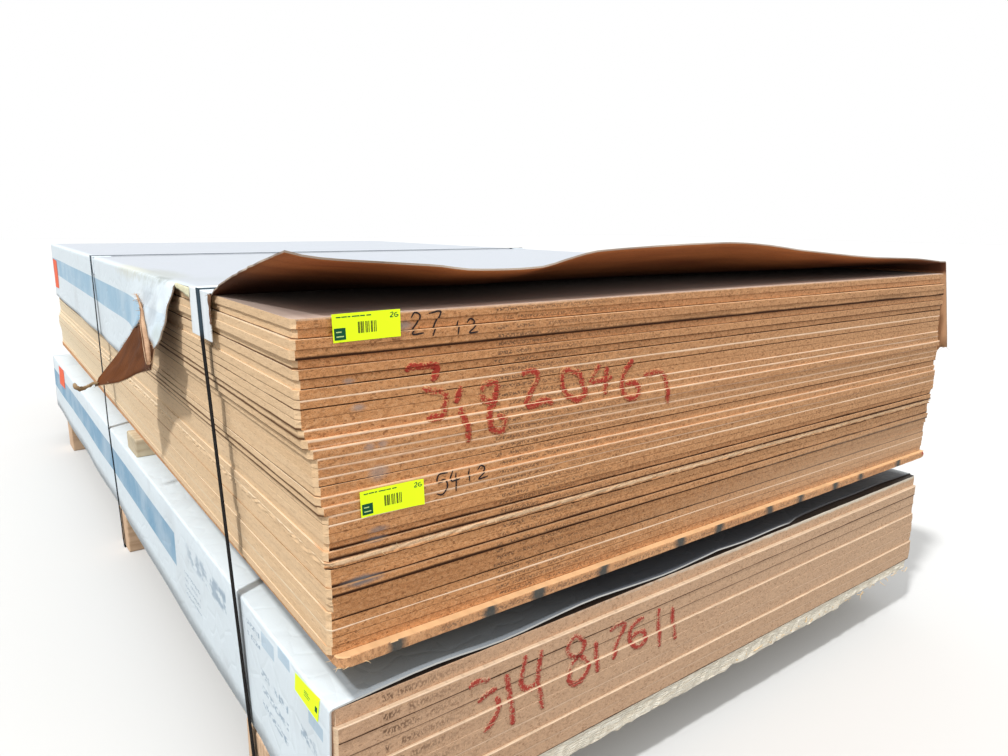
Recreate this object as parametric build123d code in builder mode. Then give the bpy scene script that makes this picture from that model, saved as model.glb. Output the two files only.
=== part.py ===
"""Two strapped lifts of veneered particleboard sheets, one on the other, on timber runners.

Millimetres. X runs along the 4 ft front, Y along the 8 ft length, away from the
front, and Z is up. Pieces are laid out from the front left corner of a perfectly
square upper lift, at ground level, and are moved at the end so that the origin is
under the middle of the whole stack.
"""
from build123d import *
import math
import os

# Sheets
SHEET_WIDTH = 1219.2
SHEET_LENGTH = 2438.4
THIN_SHEET = 9.525
THICK_SHEET = 19.05
THICK_SHEETS = 9

# How the thin sheets have slipped, in groups from the top down: slip to the right,
# slip to the back, and turn in degrees, and then how many sheets each group has
UPPER_SLIPS = [
    (-4, 0, -0.1), (-2, 2, -0.1), (-6, -2, -0.3), (-7, -1, -0.3), (-3, 3, -0.3),
    (-4, 0, -0.3), (-2, 2, -0.2), (-4, 0, -0.2), (-2, -1, -0.2), (0, -4, 0.0),
    (4, -6, 0.0), (8, -6, 0.2), (9, -7, 0.4), (8, -9, 0.4), (10, -11, 0.4),
    (14, -11, 0.5), (15, -7, 0.5), (13, -10, 0.5), (13, -11, 0.6), (15, -9, 0.7),
    (14, -12, 0.7), (15, -9, 0.7), (17, -6, 0.7), (15, -5, 0.6), (14, -4, 0.6),
]
GROUP_SHEETS = [1, 1, 1, 1, 1, 1, 1, 4, 1, 1, 1, 3, 1, 1, 1, 3, 1, 1, 1, 2, 1, 1, 1, 4, 1]
UPPER_BASE_SLIP = (20, -16, 0.8)
# The thick sheets lie square on one another and stand out in front of their cap
LOWER_SLIPS = [-5, -10, -9, -8.5, -11, -11.5, -11, -13.5, -13]
LOWER_BASE_SLIP = -12
LOWER_LIFT_SLIP = (10, -12, 1.3)

# Timber
UPPER_BASE = 12.0
LOWER_BASE = 19.05
SPACER_HEIGHT = 38.0
SPACER_WIDTH = 89.0
SPACER_LENGTH = 1120.0
# Where each spacer lies: its middle along the lower lift, and its end in from the left
SPACER_PLACES = {"front": (300, 95), "middle": (1028, 4), "rear": (2138, 70)}
RUNNER_SIDE = 89.0
RUNNER_INSET = 260.0

# Cardboard caps
CAP_THICK = 2.0
FLAP_DEPTH = 178.0
CAP_GAP = 0.3
# Front edge of the upper cap, bent up: share of the way across, and rise
FRONT_WAVE = [(0, 60), (0.09, 47), (0.2, 37), (0.29, 52), (0.5, 61), (0.64, 48), (0.8, 34), (1, 20)]
# The rise dies away towards the back: place in front of the start, share of the rise
RISE_STEPS = [(0.35, 0.12), (0.7, 0.5)]
TORN_FROM = 447.0
TORN_TO = 709.0
TEAR_DROP = 40.0
TEAR_RUN = 300.0
TORN_LEAN = 15.0
# The torn piece is folded out along a line: place along the flap and drop, each end
FOLD_REAR = (640.0, 64.0)
FOLD_FRONT = (487.0, 124.0)
TIP_REACH = 112.0
TIP_PLACE = 726.0
TIP_DROP = 186.0
TIP_BULGE = 10.0

# Straps and the angles under them
STRAP_WIDTH = 16.0
STRAP_THICK = 0.8
FRONT_STRAP_LEAN = 52.0
REAR_STRAP_LEAN = 110.0
STRAP_CLEAR = 0.3
GROOVE_SPARE = 2.0
GROOVE_LIFT = 0.2
ANGLE_THICK = 2.0
FRONT_ANGLE_WIDTH = 96.0
FRONT_ANGLE_LEG = 60.0
REAR_ANGLE_WIDTH = 50.0
REAR_ANGLE_LEG = 40.0

# Heights of the layers, from the ground up
lower_base_z = RUNNER_SIDE
lower_sheets_z = lower_base_z + LOWER_BASE
lower_top = lower_sheets_z + THICK_SHEETS * THICK_SHEET
lower_cap_top = lower_top + CAP_THICK
spacer_z = lower_cap_top
upper_base_z = spacer_z + SPACER_HEIGHT
upper_sheets_z = upper_base_z + UPPER_BASE
slips = [slip for slip, sheets in zip(UPPER_SLIPS, GROUP_SHEETS) for _ in range(sheets)]
thin_sheets = len(slips)
upper_top = upper_sheets_z + thin_sheets * THIN_SHEET
upper_cap_top = upper_top + CAP_THICK


def laid(slip, z=0.0):
    """The plane at height z that a slipped layer is drawn in, from its front left corner."""
    x, y, turn = slip
    along = (math.cos(math.radians(turn)), math.sin(math.radians(turn)), 0)
    return Plane(origin=(x, y, z), x_dir=along, z_dir=(0, 0, 1))


def corners(slip):
    """The four corners of a slipped sheet, as points in plan."""
    plane = laid(slip)
    plan = [(0, 0), (SHEET_WIDTH, 0), (0, SHEET_LENGTH), (SHEET_WIDTH, SHEET_LENGTH)]
    return [plane.from_local_coords(Vector(x, y, 0)) for x, y in plan]


# The upper cap is as wide as the sheets that its flaps cover
flap_sheets = math.ceil(FLAP_DEPTH / THIN_SHEET)
covered = [corner for slip in slips[:flap_sheets] for corner in corners(slip)]
cap_left = min(corner.X for corner in covered) - CAP_GAP
cap_right = max(corner.X for corner in covered) + CAP_GAP
cap_front = min(corner.Y for corner in corners(slips[0]))
cap_back = max(corner.Y for corner in covered) + CAP_GAP
cap_outer_left = cap_left - CAP_THICK
cap_outer_right = cap_right + CAP_THICK
# The front strap holds the cap down, and the cap is bent up in front of its angle
lift_start = RUNNER_INSET + FRONT_STRAP_LEAN - FRONT_ANGLE_WIDTH / 2 - CAP_GAP

made = {}


def keep(name, builder):
    """Keeps a finished piece under its name."""
    made[name] = builder


# Thin sheets of the upper lift, numbered from the top
for number, slip in enumerate(slips, start=1):
    sheet_z = upper_top - number * THIN_SHEET
    with BuildPart() as upper_panel:
        with BuildSketch(laid(slip, sheet_z)):
            Rectangle(SHEET_WIDTH, SHEET_LENGTH, align=(Align.MIN, Align.MIN))
        extrude(amount=THIN_SHEET)
    keep(f"upper_panel_{number:02d}", upper_panel)

# Thick sheets of the lower lift, numbered from the top
for number, push in enumerate(LOWER_SLIPS[:THICK_SHEETS], start=1):
    sheet_z = lower_top - number * THICK_SHEET
    with BuildPart() as lower_panel:
        with BuildSketch(laid(LOWER_LIFT_SLIP, sheet_z)):
            with Locations((0, push)):
                Rectangle(SHEET_WIDTH, SHEET_LENGTH, align=(Align.MIN, Align.MIN))
        extrude(amount=THICK_SHEET)
    keep(f"lower_panel_{number:02d}", lower_panel)

# Base boards: rough sheets that each lift was built up on
with BuildPart() as upper_base_board:
    with BuildSketch(laid(UPPER_BASE_SLIP, upper_base_z)):
        Rectangle(SHEET_WIDTH, SHEET_LENGTH, align=(Align.MIN, Align.MIN))
    extrude(amount=UPPER_BASE)
keep("upper_base_board", upper_base_board)

with BuildPart() as lower_base_board:
    with BuildSketch(laid(LOWER_LIFT_SLIP, lower_base_z)):
        with Locations((0, LOWER_BASE_SLIP)):
            Rectangle(SHEET_WIDTH, SHEET_LENGTH, align=(Align.MIN, Align.MIN))
    extrude(amount=LOWER_BASE)
keep("lower_base_board", lower_base_board)

# Spacers between the lifts, flat boards across the width
for place, (middle, left_inset) in SPACER_PLACES.items():
    with BuildPart() as spacer:
        with BuildSketch(laid(LOWER_LIFT_SLIP, spacer_z)):
            with Locations((left_inset, middle)):
                Rectangle(SPACER_LENGTH, SPACER_WIDTH, align=(Align.MIN, Align.CENTER))
        extrude(amount=SPACER_HEIGHT)
    keep(f"spacer_{place}", spacer)

# Runners under the lower lift, with a shallow seat under the strapped ones
runner_middles = {
    "front": RUNNER_INSET,
    "middle": SHEET_LENGTH / 2,
    "rear": SHEET_LENGTH - RUNNER_INSET,
}
strapped = ["front", "middle"]
groove_width = STRAP_WIDTH + GROOVE_SPARE
groove_depth = STRAP_THICK + GROOVE_LIFT
for place, middle in runner_middles.items():
    with BuildPart() as runner:
        with BuildSketch(laid(LOWER_LIFT_SLIP)):
            with Locations((SHEET_WIDTH / 2, middle)):
                Rectangle(SHEET_WIDTH, RUNNER_SIDE)
        extrude(amount=RUNNER_SIDE)
        if place in strapped:
            with BuildSketch(laid(LOWER_LIFT_SLIP)):
                with Locations((SHEET_WIDTH / 2, middle)):
                    Rectangle(SHEET_WIDTH, groove_width)
            extrude(amount=groove_depth, mode=Mode.SUBTRACT)
    keep(f"runner_{place}", runner)

# Cap of the lower lift: a sheet with a flap down each long side
with BuildPart() as lower_cap:
    with BuildSketch(laid(LOWER_LIFT_SLIP, lower_top)):
        with Locations((-CAP_GAP - CAP_THICK, 0)):
            Rectangle(SHEET_WIDTH + 2 * (CAP_GAP + CAP_THICK), SHEET_LENGTH, align=(Align.MIN, Align.MIN))
    extrude(amount=CAP_THICK)
    with BuildSketch(laid(LOWER_LIFT_SLIP, lower_cap_top - CAP_THICK - FLAP_DEPTH)):
        for flap_x in (-CAP_GAP - CAP_THICK, SHEET_WIDTH + CAP_GAP):
            with Locations((flap_x, 0)):
                Rectangle(CAP_THICK, SHEET_LENGTH, align=(Align.MIN, Align.MIN))
    extrude(amount=FLAP_DEPTH + CAP_THICK)
keep("lower_cap", lower_cap)


def rise_section(y, share):
    """One section across the bent up front of the upper cap, at this place along it."""
    span = cap_outer_right - cap_left
    low = [(cap_left + across * span, upper_top + share * rise) for across, rise in FRONT_WAVE]
    high = [(x, z + CAP_THICK) for x, z in low]
    with BuildSketch(Plane.XZ.offset(-y)) as section:
        with BuildLine():
            Spline(low)
            Line(low[-1], high[-1])
            Spline(high)
            Line(high[0], low[0])
        make_face()
    return section.sketch


# Cap of the upper lift: its front is bent up, and its left flap is torn away there
right_rise = FRONT_WAVE[-1][1]
rise_length = lift_start - cap_front
steps = [(0, 0)] + RISE_STEPS + [(1, 1)]
rise_places = [(lift_start - forward * rise_length, share) for forward, share in steps]
flap_bottom = upper_top - FLAP_DEPTH
half_cap = CAP_THICK / 2
right_edge = [(y, upper_top + half_cap + share * right_rise) for y, share in rise_places]
lean = math.radians(TORN_LEAN)
torn_plane = Plane(
    origin=(cap_outer_left, 0, upper_cap_top),
    x_dir=(0, 1, 0),
    z_dir=(-math.cos(lean), 0, math.sin(lean)),
)
fold_rear = torn_plane.from_local_coords(Vector(*FOLD_REAR, 0))
fold_front = torn_plane.from_local_coords(Vector(*FOLD_FRONT, 0))
torn_tip = Vector(cap_outer_left - TIP_REACH, TIP_PLACE, upper_top - TIP_DROP)
fold_line = fold_front - fold_rear
corner_plane = Plane(origin=fold_rear, x_dir=fold_line, z_dir=fold_line.cross(torn_tip - fold_rear))
tip = corner_plane.to_local_coords(torn_tip)
tip_edge_top = (tip.X * 0.5, tip.Y * 0.5 + TIP_BULGE)
tip_edge_low = ((tip.X + fold_line.length) * 0.5 - TIP_BULGE, tip.Y * 0.5)

with BuildPart() as upper_cap:
    loft(sections=[rise_section(y, share) for y, share in rise_places], ruled=True)
    with BuildSketch(Plane.XY.offset(upper_top)):
        with BuildLine():
            Polyline(
                (cap_left, lift_start), (cap_left, TORN_FROM), (cap_outer_left, TORN_FROM),
                (cap_outer_left, cap_back), (cap_outer_right, cap_back), (cap_outer_right, lift_start),
                close=True,
            )
        make_face()
    extrude(amount=CAP_THICK)
    with BuildSketch(Plane.YZ.offset(cap_right)):
        with BuildLine():
            Polyline(
                right_edge, (cap_front, flap_bottom + right_rise),
                (lift_start, flap_bottom), (cap_back, flap_bottom), (cap_back, upper_cap_top),
                (lift_start, upper_cap_top), close=True,
            )
        make_face()
    extrude(amount=CAP_THICK)
    with BuildSketch(Plane.YZ.offset(cap_outer_left)):
        with BuildLine():
            Polyline(
                (TORN_TO, upper_cap_top), (cap_back, upper_cap_top), (cap_back, flap_bottom),
                (TORN_TO + TEAR_RUN, flap_bottom), (TORN_TO, upper_top - TEAR_DROP), close=True,
            )
        make_face()
    extrude(amount=CAP_THICK)
    with BuildSketch(torn_plane):
        with BuildLine():
            Polyline(
                (TORN_FROM, 0), (TORN_TO, 0), (TORN_TO, TEAR_DROP), FOLD_REAR, FOLD_FRONT, close=True,
            )
        make_face()
    extrude(amount=-CAP_THICK)
    with BuildSketch(corner_plane):
        with BuildLine():
            Polyline((0, 0), (0, -CAP_THICK), (fold_line.length, -CAP_THICK), (fold_line.length, 0))
            ThreePointArc((fold_line.length, 0), tip_edge_low, (tip.X, tip.Y))
            ThreePointArc((tip.X, tip.Y), tip_edge_top, (0, 0))
        make_face()
    extrude(amount=half_cap, both=True)
keep("upper_cap", upper_cap)

# Straps: each goes over the upper cap, down both sides and under a runner,
# with an angle on each top edge of the load
angle_top = upper_cap_top + ANGLE_THICK
strap_top = angle_top + STRAP_THICK
stand_off = STRAP_CLEAR + STRAP_THICK / 2
low_reach = CAP_GAP + CAP_THICK
strap_places = {
    "front": (runner_middles["front"], FRONT_STRAP_LEAN, FRONT_ANGLE_WIDTH, FRONT_ANGLE_LEG),
    "rear": (runner_middles["middle"], REAR_STRAP_LEAN, REAR_ANGLE_WIDTH, REAR_ANGLE_LEG),
}


def reach(slip, side, y):
    """How far out a slipped layer's left or right face stands at this place along the lift."""
    x, start, turn = slip
    angle = math.radians(turn)
    across = SHEET_WIDTH / math.cos(angle) if side > 0 else 0
    return side * (x + across - math.tan(angle) * (y - start))


def taut(points):
    """The points that a tight strap touches, out of (reach, z) points, from the ground up."""
    path = []
    for out, z in sorted(points, key=lambda point: point[1]):
        while path and path[-1][1] > z - THIN_SHEET / 2 and out >= path[-1][0]:
            path.pop()
        while len(path) > 1:
            (out_a, z_a), (out_b, z_b) = path[-2:]
            if (out_b - out_a) * (z - z_a) > (out - out_a) * (z_b - z_a):
                break
            path.pop()
        path.append((out, z))
    return path


for place, (middle, strap_lean, angle_width, angle_leg) in strap_places.items():
    top_y = middle + strap_lean
    bare_left = top_y < TORN_FROM
    left = (cap_left if bare_left else cap_outer_left) - ANGLE_THICK
    right = cap_outer_right + ANGLE_THICK
    with BuildPart() as edge_angles:
        with BuildSketch(Plane.XZ.offset(angle_width / 2 - top_y)):
            for x, inward in ((left, 1), (right, -1)):
                with BuildLine():
                    Polyline(
                        (x, angle_top), (x + inward * angle_leg, angle_top),
                        (x + inward * angle_leg, upper_cap_top), (x + inward * ANGLE_THICK, upper_cap_top),
                        (x + inward * ANGLE_THICK, angle_top - angle_leg), (x, angle_top - angle_leg),
                        close=True,
                    )
                make_face()
        extrude(amount=-angle_width)
    keep(f"{place}_edge_angles", edge_angles)

    lower_plane = laid(LOWER_LIFT_SLIP, GROOVE_LIFT)
    with BuildPart() as strap:
        for side, angle_x in ((-1, left), (1, right)):
            low_x = -low_reach if side < 0 else SHEET_WIDTH + low_reach
            low_y = lower_plane.from_local_coords(Vector(low_x, middle, 0)).Y
            rate = (top_y - low_y) / strap_top
            points = [(side * angle_x, strap_top), (side * angle_x, angle_top - angle_leg)]
            if side > 0 or not bare_left:
                points.append((side * angle_x - ANGLE_THICK, flap_bottom))
            for z in (GROOVE_LIFT, lower_cap_top):
                points.append((reach(LOWER_LIFT_SLIP, side, low_y + rate * z) + low_reach, z))
            points.append((reach(UPPER_BASE_SLIP, side, low_y + rate * upper_base_z), upper_base_z))
            for number, slip in enumerate(slips[flap_sheets:], start=flap_sheets):
                z = upper_top - number * THIN_SHEET
                points.append((reach(slip, side, low_y + rate * z), z))
            outlines = []
            for out, z in taut(points):
                with BuildSketch(Plane.XY.offset(z)) as outline:
                    with Locations((side * (out + stand_off), low_y + rate * z)):
                        Rectangle(STRAP_THICK, STRAP_WIDTH)
                outlines.append(outline.sketch)
            loft(sections=outlines, ruled=True)
        with BuildSketch(lower_plane):
            with Locations((SHEET_WIDTH / 2, middle)):
                Rectangle(SHEET_WIDTH + 2 * (low_reach + stand_off) + STRAP_THICK, STRAP_WIDTH)
        extrude(amount=STRAP_THICK)
        with BuildSketch(Plane.XY.offset(angle_top)):
            with Locations(((left + right) / 2, top_y)):
                Rectangle(right - left + 2 * stand_off + STRAP_THICK, STRAP_WIDTH)
        extrude(amount=STRAP_THICK)
    keep(f"{place}_strap", strap)

# The origin goes under the middle of the whole stack
boxes = [builder.part.bounding_box() for builder in made.values()]
middle_x = (min(box.min.X for box in boxes) + max(box.max.X for box in boxes)) / 2
middle_y = (min(box.min.Y for box in boxes) + max(box.max.Y for box in boxes)) / 2
home = Location((-middle_x, -middle_y, -min(box.min.Z for box in boxes)))
os.makedirs("parts", exist_ok=True)
for name, builder in made.items():
    builder.part = builder.part.moved(home)
    builder.part.label = name
    export_step(builder.part, f"parts/{name}.step")
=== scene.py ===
import bisect
import bmesh
import bpy
import math
from mathutils import Matrix, Vector, noise


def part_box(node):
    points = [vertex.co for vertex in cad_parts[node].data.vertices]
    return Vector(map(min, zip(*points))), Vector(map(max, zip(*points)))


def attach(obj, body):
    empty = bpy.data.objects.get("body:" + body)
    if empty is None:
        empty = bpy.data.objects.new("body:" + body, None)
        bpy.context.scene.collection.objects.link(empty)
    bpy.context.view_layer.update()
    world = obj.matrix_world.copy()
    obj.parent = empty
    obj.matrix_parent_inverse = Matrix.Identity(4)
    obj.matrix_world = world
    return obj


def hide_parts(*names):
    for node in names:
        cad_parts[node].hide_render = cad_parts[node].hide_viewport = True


# Two strapped lifts of veneered particleboard sheets, on timber runners. Metres, in the
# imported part's own frame: X to the right along the front, Y away from it, Z up.
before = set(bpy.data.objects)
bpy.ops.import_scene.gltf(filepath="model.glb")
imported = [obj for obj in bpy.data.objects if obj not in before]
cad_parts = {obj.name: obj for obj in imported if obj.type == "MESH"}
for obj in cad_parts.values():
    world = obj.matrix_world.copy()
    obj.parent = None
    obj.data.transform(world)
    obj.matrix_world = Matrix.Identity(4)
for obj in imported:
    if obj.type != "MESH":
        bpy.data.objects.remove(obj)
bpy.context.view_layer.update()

# Runners: three square timbers across the width, which the load stands on and a lift
# truck's forks pass between. Sawn softwood, held by the straps, which lie in a shallow
# seat under the front and middle ones.
WELD = 0.00001
TIMBER_ARRIS = 0.003
TIMBER_SLICE = 0.04
TIMBER_WANDER = 0.0008
TIMBER_PALE = (0.78, 0.54, 0.35)
TIMBER_DARK = (0.52, 0.32, 0.18)


def add_node(tree, kind, inputs=None, **settings):
    """Adds a node with its settings and its inputs, each a value or another node's output."""
    made = tree.nodes.new(kind)
    for key, value in settings.items():
        setattr(made, key, value)
    for key, value in (inputs or {}).items():
        if isinstance(value, bpy.types.NodeSocket):
            tree.links.new(value, made.inputs[key])
        else:
            made.inputs[key].default_value = value
    return made


def output(tree, kind, inputs=None, **settings):
    """Adds a node and gives its first output."""
    return add_node(tree, kind, inputs, **settings).outputs[0]


def new_material(name, roughness):
    """An empty finish with its node tree and its shader."""
    material = bpy.data.materials.new(name)
    material.use_nodes = True
    shader = material.node_tree.nodes["Principled BSDF"]
    shader.inputs["Roughness"].default_value = roughness
    return material, material.node_tree, shader


def object_space(tree, stretch=(1, 1, 1)):
    """Object coordinates in metres, stretched for a pattern that reads them."""
    place = add_node(tree, "ShaderNodeTexCoord").outputs["Object"]
    return output(tree, "ShaderNodeMapping", {"Vector": place, "Scale": stretch})


def maths(tree, operation, first, second=0.0):
    """One sum on numbers or outputs."""
    return output(tree, "ShaderNodeMath", {0: first, 1: second}, operation=operation)


def times(tree, first, second):
    """Two numbers or outputs multiplied."""
    return maths(tree, "MULTIPLY", first, second)


def plus(tree, first, second):
    """Two numbers or outputs added."""
    return maths(tree, "ADD", first, second)


def minus(tree, first, second):
    """One number or output less another."""
    return maths(tree, "SUBTRACT", first, second)


def cloud(tree, vector, scale, detail=3.0):
    """A soft random value between 0 and 1."""
    inputs = {"Vector": vector, "Scale": scale, "Detail": detail}
    return output(tree, "ShaderNodeTexNoise", inputs)


def streaky(tree, stretch, detail):
    """A soft random value on the piece, with this many blots to the metre each way."""
    return cloud(tree, object_space(tree, stretch), 1.0, detail)


def remap(tree, value, low, high, to_low=0.0, to_high=1.0):
    """A value taken from one range to another and held inside it."""
    inputs = {0: value, 1: low, 2: high, 3: to_low, 4: to_high}
    return output(tree, "ShaderNodeMapRange", inputs)


def mix(tree, share, first, second, way="MIX"):
    """A colour between two colours, each a triple or an output."""
    colours = [c if isinstance(c, bpy.types.NodeSocket) else (*c, 1.0) for c in (first, second)]
    inputs = {0: share, 6: colours[0], 7: colours[1]}
    return add_node(tree, "ShaderNodeMix", inputs, data_type="RGBA", blend_type=way).outputs[2]


def coat(tree, shader, colour, height=None, depth=0.001, strength=1.0):
    """Gives a shader its colour, and a relief of this depth."""
    tree.links.new(colour, shader.inputs["Base Color"])
    if height is not None:
        inputs = {"Height": height, "Distance": depth, "Strength": strength}
        relief = output(tree, "ShaderNodeBump", inputs)
        tree.links.new(relief, shader.inputs["Normal"])


def sawn_wood(name, pale, dark, ring_scale=26.0, grain=(0.15, 1, 1), axis="X"):
    """Sawn softwood: rings on the ends run out along the faces as grain, under saw marks."""
    material, tree, shader = new_material(name, 0.8)
    inputs = {"Vector": object_space(tree, grain), "Scale": ring_scale, "Distortion": 4.0, "Detail": 3.0}
    rings = add_node(tree, "ShaderNodeTexWave", inputs, wave_type="RINGS", rings_direction=axis)
    streaks = streaky(tree, tuple(g * 200 for g in grain), 4.0)
    dirt = cloud(tree, object_space(tree), 14.0, 5.0)
    figure = times(tree, rings.outputs["Fac"], streaks)
    colour = mix(tree, remap(tree, figure, 0.1, 0.7, 0.0, 0.7), pale, dark)
    colour = mix(tree, remap(tree, dirt, 0.5, 0.8, 0.0, 0.35), colour, tuple(c * 0.4 for c in dark))
    coat(tree, shader, colour, streaks, 0.0008)
    return material


def solid_copy(cad_node):
    """A welded copy of a CAD node's mesh with its flat faces joined."""
    shape = bmesh.new()
    shape.from_mesh(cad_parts[cad_node].data)
    bmesh.ops.remove_doubles(shape, verts=shape.verts, dist=WELD)
    bmesh.ops.dissolve_limit(shape, angle_limit=math.radians(0.5), verts=shape.verts, edges=shape.edges)
    return shape


def soften(shape, width, steps=2, sharp=30):
    """Rounds the sharp edges of a solid, but not beside a face too narrow for it."""
    thin = {f for f in shape.faces if f.calc_area() < width * max(e.calc_length() for e in f.edges)}
    edges = [e for e in shape.edges
             if e.calc_face_angle(0.0) > math.radians(sharp) and thin.isdisjoint(e.link_faces)]
    bmesh.ops.bevel(shape, geom=edges, offset=width, segments=steps, profile=0.5, affect="EDGES")


def in_scene(name, data):
    """A new object in the scene."""
    made = bpy.data.objects.new(name, data)
    bpy.context.scene.collection.objects.link(made)
    return made


def piece_of(name, mesh, slot, *cad_nodes):
    """Makes a piece of a mesh. It rides on the load and stands for its CAD nodes."""
    piece = in_scene(name, mesh)
    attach(piece, "root")
    if cad_nodes:
        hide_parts(*cad_nodes)
    return piece


def stand_in(name, shape, materials, slot, *cad_nodes):
    """Makes a piece of a finished shape and its materials."""
    mesh = bpy.data.meshes.new(name)
    shape.to_mesh(mesh)
    shape.free()
    for material in materials:
        mesh.materials.append(material)
    return piece_of(name, mesh, slot, *cad_nodes)


def timber(name, cad_node, material, slot):
    """A sawn timber: a CAD bar with worn arrises and faces that wander a little."""
    shape = solid_copy(cad_node)
    soften(shape, TIMBER_ARRIS)
    low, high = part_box(cad_node)
    slices = int((high.x - low.x) / TIMBER_SLICE)
    for number in range(1, slices):
        x = low.x + (high.x - low.x) * number / slices
        whole = shape.verts[:] + shape.edges[:] + shape.faces[:]
        bmesh.ops.bisect_plane(shape, geom=whole, plane_co=(x, 0, 0), plane_no=(1, 0, 0))
    for vert in shape.verts:
        wander = noise.noise(vert.co * 9.0)
        vert.co.y += TIMBER_WANDER * wander
    return stand_in(name, shape, [material], slot, cad_node)


runner_wood = sawn_wood("runner_wood", TIMBER_PALE, TIMBER_DARK)
for place in ("front", "middle", "rear"):
    timber(f"runner_timber_{place}", f"runner_{place}", runner_wood, "sawn_timber")

# Lower base board: a rough sheet that the lower lift was built up on, nailed to nothing
# and held by the straps. Low-grade pressed board with a splintered, greenish-white edge.
BOARD_STEP = 0.009
FRAY_REACH = 0.007
STEEP = 0.8
BASE_PALE = (0.98, 0.93, 0.80)
BASE_DARK = (0.78, 0.68, 0.52)
BASE_FLAKE = (0.80, 0.80, 0.64)
SAG = 0.009
SAG_END = 0.44
SPLINTER_PALE = (0.86, 0.62, 0.34, 1.0)
SPLINTER_PLACES = (0.55, 0.7, 0.85, 0.93, 0.998)


def parted(tree, vector):
    """The three parts of a vector or a colour."""
    return add_node(tree, "ShaderNodeSeparateXYZ", {0: vector}).outputs


def vectors(tree, operation, first, second=(0, 0, 0)):
    """One sum on places."""
    return add_node(tree, "ShaderNodeVectorMath", {0: first, 1: second}, operation=operation).outputs


def new_tree(name, *sockets):
    """An empty geometry nodes tree with these inputs, each a name and a kind, and their values."""
    tree = bpy.data.node_groups.new(name, "GeometryNodeTree")
    for socket, kind in sockets:
        tree.interface.new_socket(socket, in_out="INPUT", socket_type="NodeSocket" + kind)
    tree.interface.new_socket("Made", in_out="OUTPUT", socket_type="NodeSocketGeometry")
    return tree, tree.nodes.new("NodeGroupInput").outputs


def board_tree():
    """Geometry nodes for a pressed board: an outline grown up through skin, core and skin.

    Its cut edges are worn in by a random amount, most at the corners and the two faces."""
    sizes = ("Width", "Length", "Thickness", "Skin", "Rim", "Wear", "Fray", "Reach", "Corner", "Step", "Seed")
    finishes = ("Faces", "Ends", "Sides")
    tree, given = new_tree("pressed_board", *[(size, "Float") for size in sizes],
                           *[(finish, "Material") for finish in finishes])
    outline = output(tree, "GeometryNodeCurvePrimitiveQuadrilateral",
                     {"Width": given["Width"], "Height": given["Length"]})
    rounded = output(tree, "GeometryNodeFilletCurve",
                     {"Curve": outline, "Count": 3, "Radius": given["Corner"]}, mode="POLY")
    spaced = output(tree, "GeometryNodeResampleCurve",
                    {"Curve": rounded, "Length": given["Step"]}, mode="LENGTH")
    face = output(tree, "GeometryNodeFillCurve", {"Curve": spaced}, mode="NGONS")
    half_width, half_length, half_thick = [times(tree, given[size], 0.5) for size in sizes[:3]]
    half_core = minus(tree, half_thick, given["Skin"])
    board, top = face, True
    for rise in (given["Skin"], half_core, half_core, given["Skin"]):
        grown = add_node(tree, "GeometryNodeExtrudeMesh",
                         {"Mesh": board, "Selection": top, "Offset Scale": rise})
        board, top = grown.outputs["Mesh"], grown.outputs["Top"]
    under = output(tree, "GeometryNodeFlipFaces", {"Mesh": face})
    joined = add_node(tree, "GeometryNodeJoinGeometry")
    tree.links.new(board, joined.inputs[0])
    tree.links.new(under, joined.inputs[0])
    closed = output(tree, "GeometryNodeMergeByDistance", {"Geometry": joined.outputs[0], "Distance": WELD})

    here = tree.nodes.new("GeometryNodeInputPosition").outputs[0]
    x, y, z = parted(tree, here)
    from_middle = maths(tree, "ABSOLUTE", minus(tree, z, half_thick))
    rim = times(tree, given["Rim"], remap(tree, from_middle, half_core, half_thick))
    rough = output(tree, "ShaderNodeTexNoise",
                   {"Vector": vectors(tree, "MULTIPLY", here, (1, 1, 14))[0], "W": given["Seed"],
                    "Scale": 80.0, "Detail": 3.0}, noise_dimensions="4D")
    wear = times(tree, given["Wear"], remap(tree, rough, 0.4, 0.75))
    near_side, near_end = [
        remap(tree, minus(tree, half, maths(tree, "ABSOLUTE", part)), 0.0, given["Reach"], 1.0, 0.0)
        for part, half in ((x, half_width), (y, half_length))]
    torn = times(tree, given["Fray"], remap(tree, rough, 0.35, 0.7))
    fray = times(tree, torn, times(tree, near_side, near_end))
    inset = plus(tree, plus(tree, rim, wear), fray)
    inward = output(tree, "ShaderNodeCombineXYZ", {
        0: times(tree, inset, maths(tree, "DIVIDE", x, times(tree, half_width, -1.0))),
        1: times(tree, inset, maths(tree, "DIVIDE", y, times(tree, half_length, -1.0))),
    })
    worn = output(tree, "GeometryNodeSetPosition", {"Geometry": closed, "Offset": inward})

    nx, ny, nz = parted(tree, tree.nodes.new("GeometryNodeInputNormal").outputs[0])
    upright = output(tree, "FunctionNodeCompare", {0: maths(tree, "ABSOLUTE", nz), 1: STEEP},
                     data_type="FLOAT", operation="LESS_THAN")
    facing = output(tree, "FunctionNodeCompare",
                    {0: maths(tree, "ABSOLUTE", ny), 1: maths(tree, "ABSOLUTE", nx)},
                    data_type="FLOAT", operation="GREATER_THAN")
    end = output(tree, "FunctionNodeBooleanMath", {0: upright, 1: facing}, operation="AND")
    single = output(tree, "GeometryNodeRealizeInstances", {0: worn})
    for chosen, material in ((True, "Faces"), (upright, "Sides"), (end, "Ends")):
        single = output(tree, "GeometryNodeSetMaterial",
                        {"Geometry": single, "Selection": chosen, "Material": given[material]})
    out = tree.nodes.new("NodeGroupOutput")
    tree.links.new(single, out.inputs[0])
    return tree


def baked(piece):
    """A plain mesh of a piece with its modifiers in it, which are then removed."""
    bpy.context.view_layer.update()
    ready = piece.evaluated_get(bpy.context.evaluated_depsgraph_get())
    mesh = bpy.data.meshes.new_from_object(ready)
    piece.modifiers.clear()
    return mesh


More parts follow.
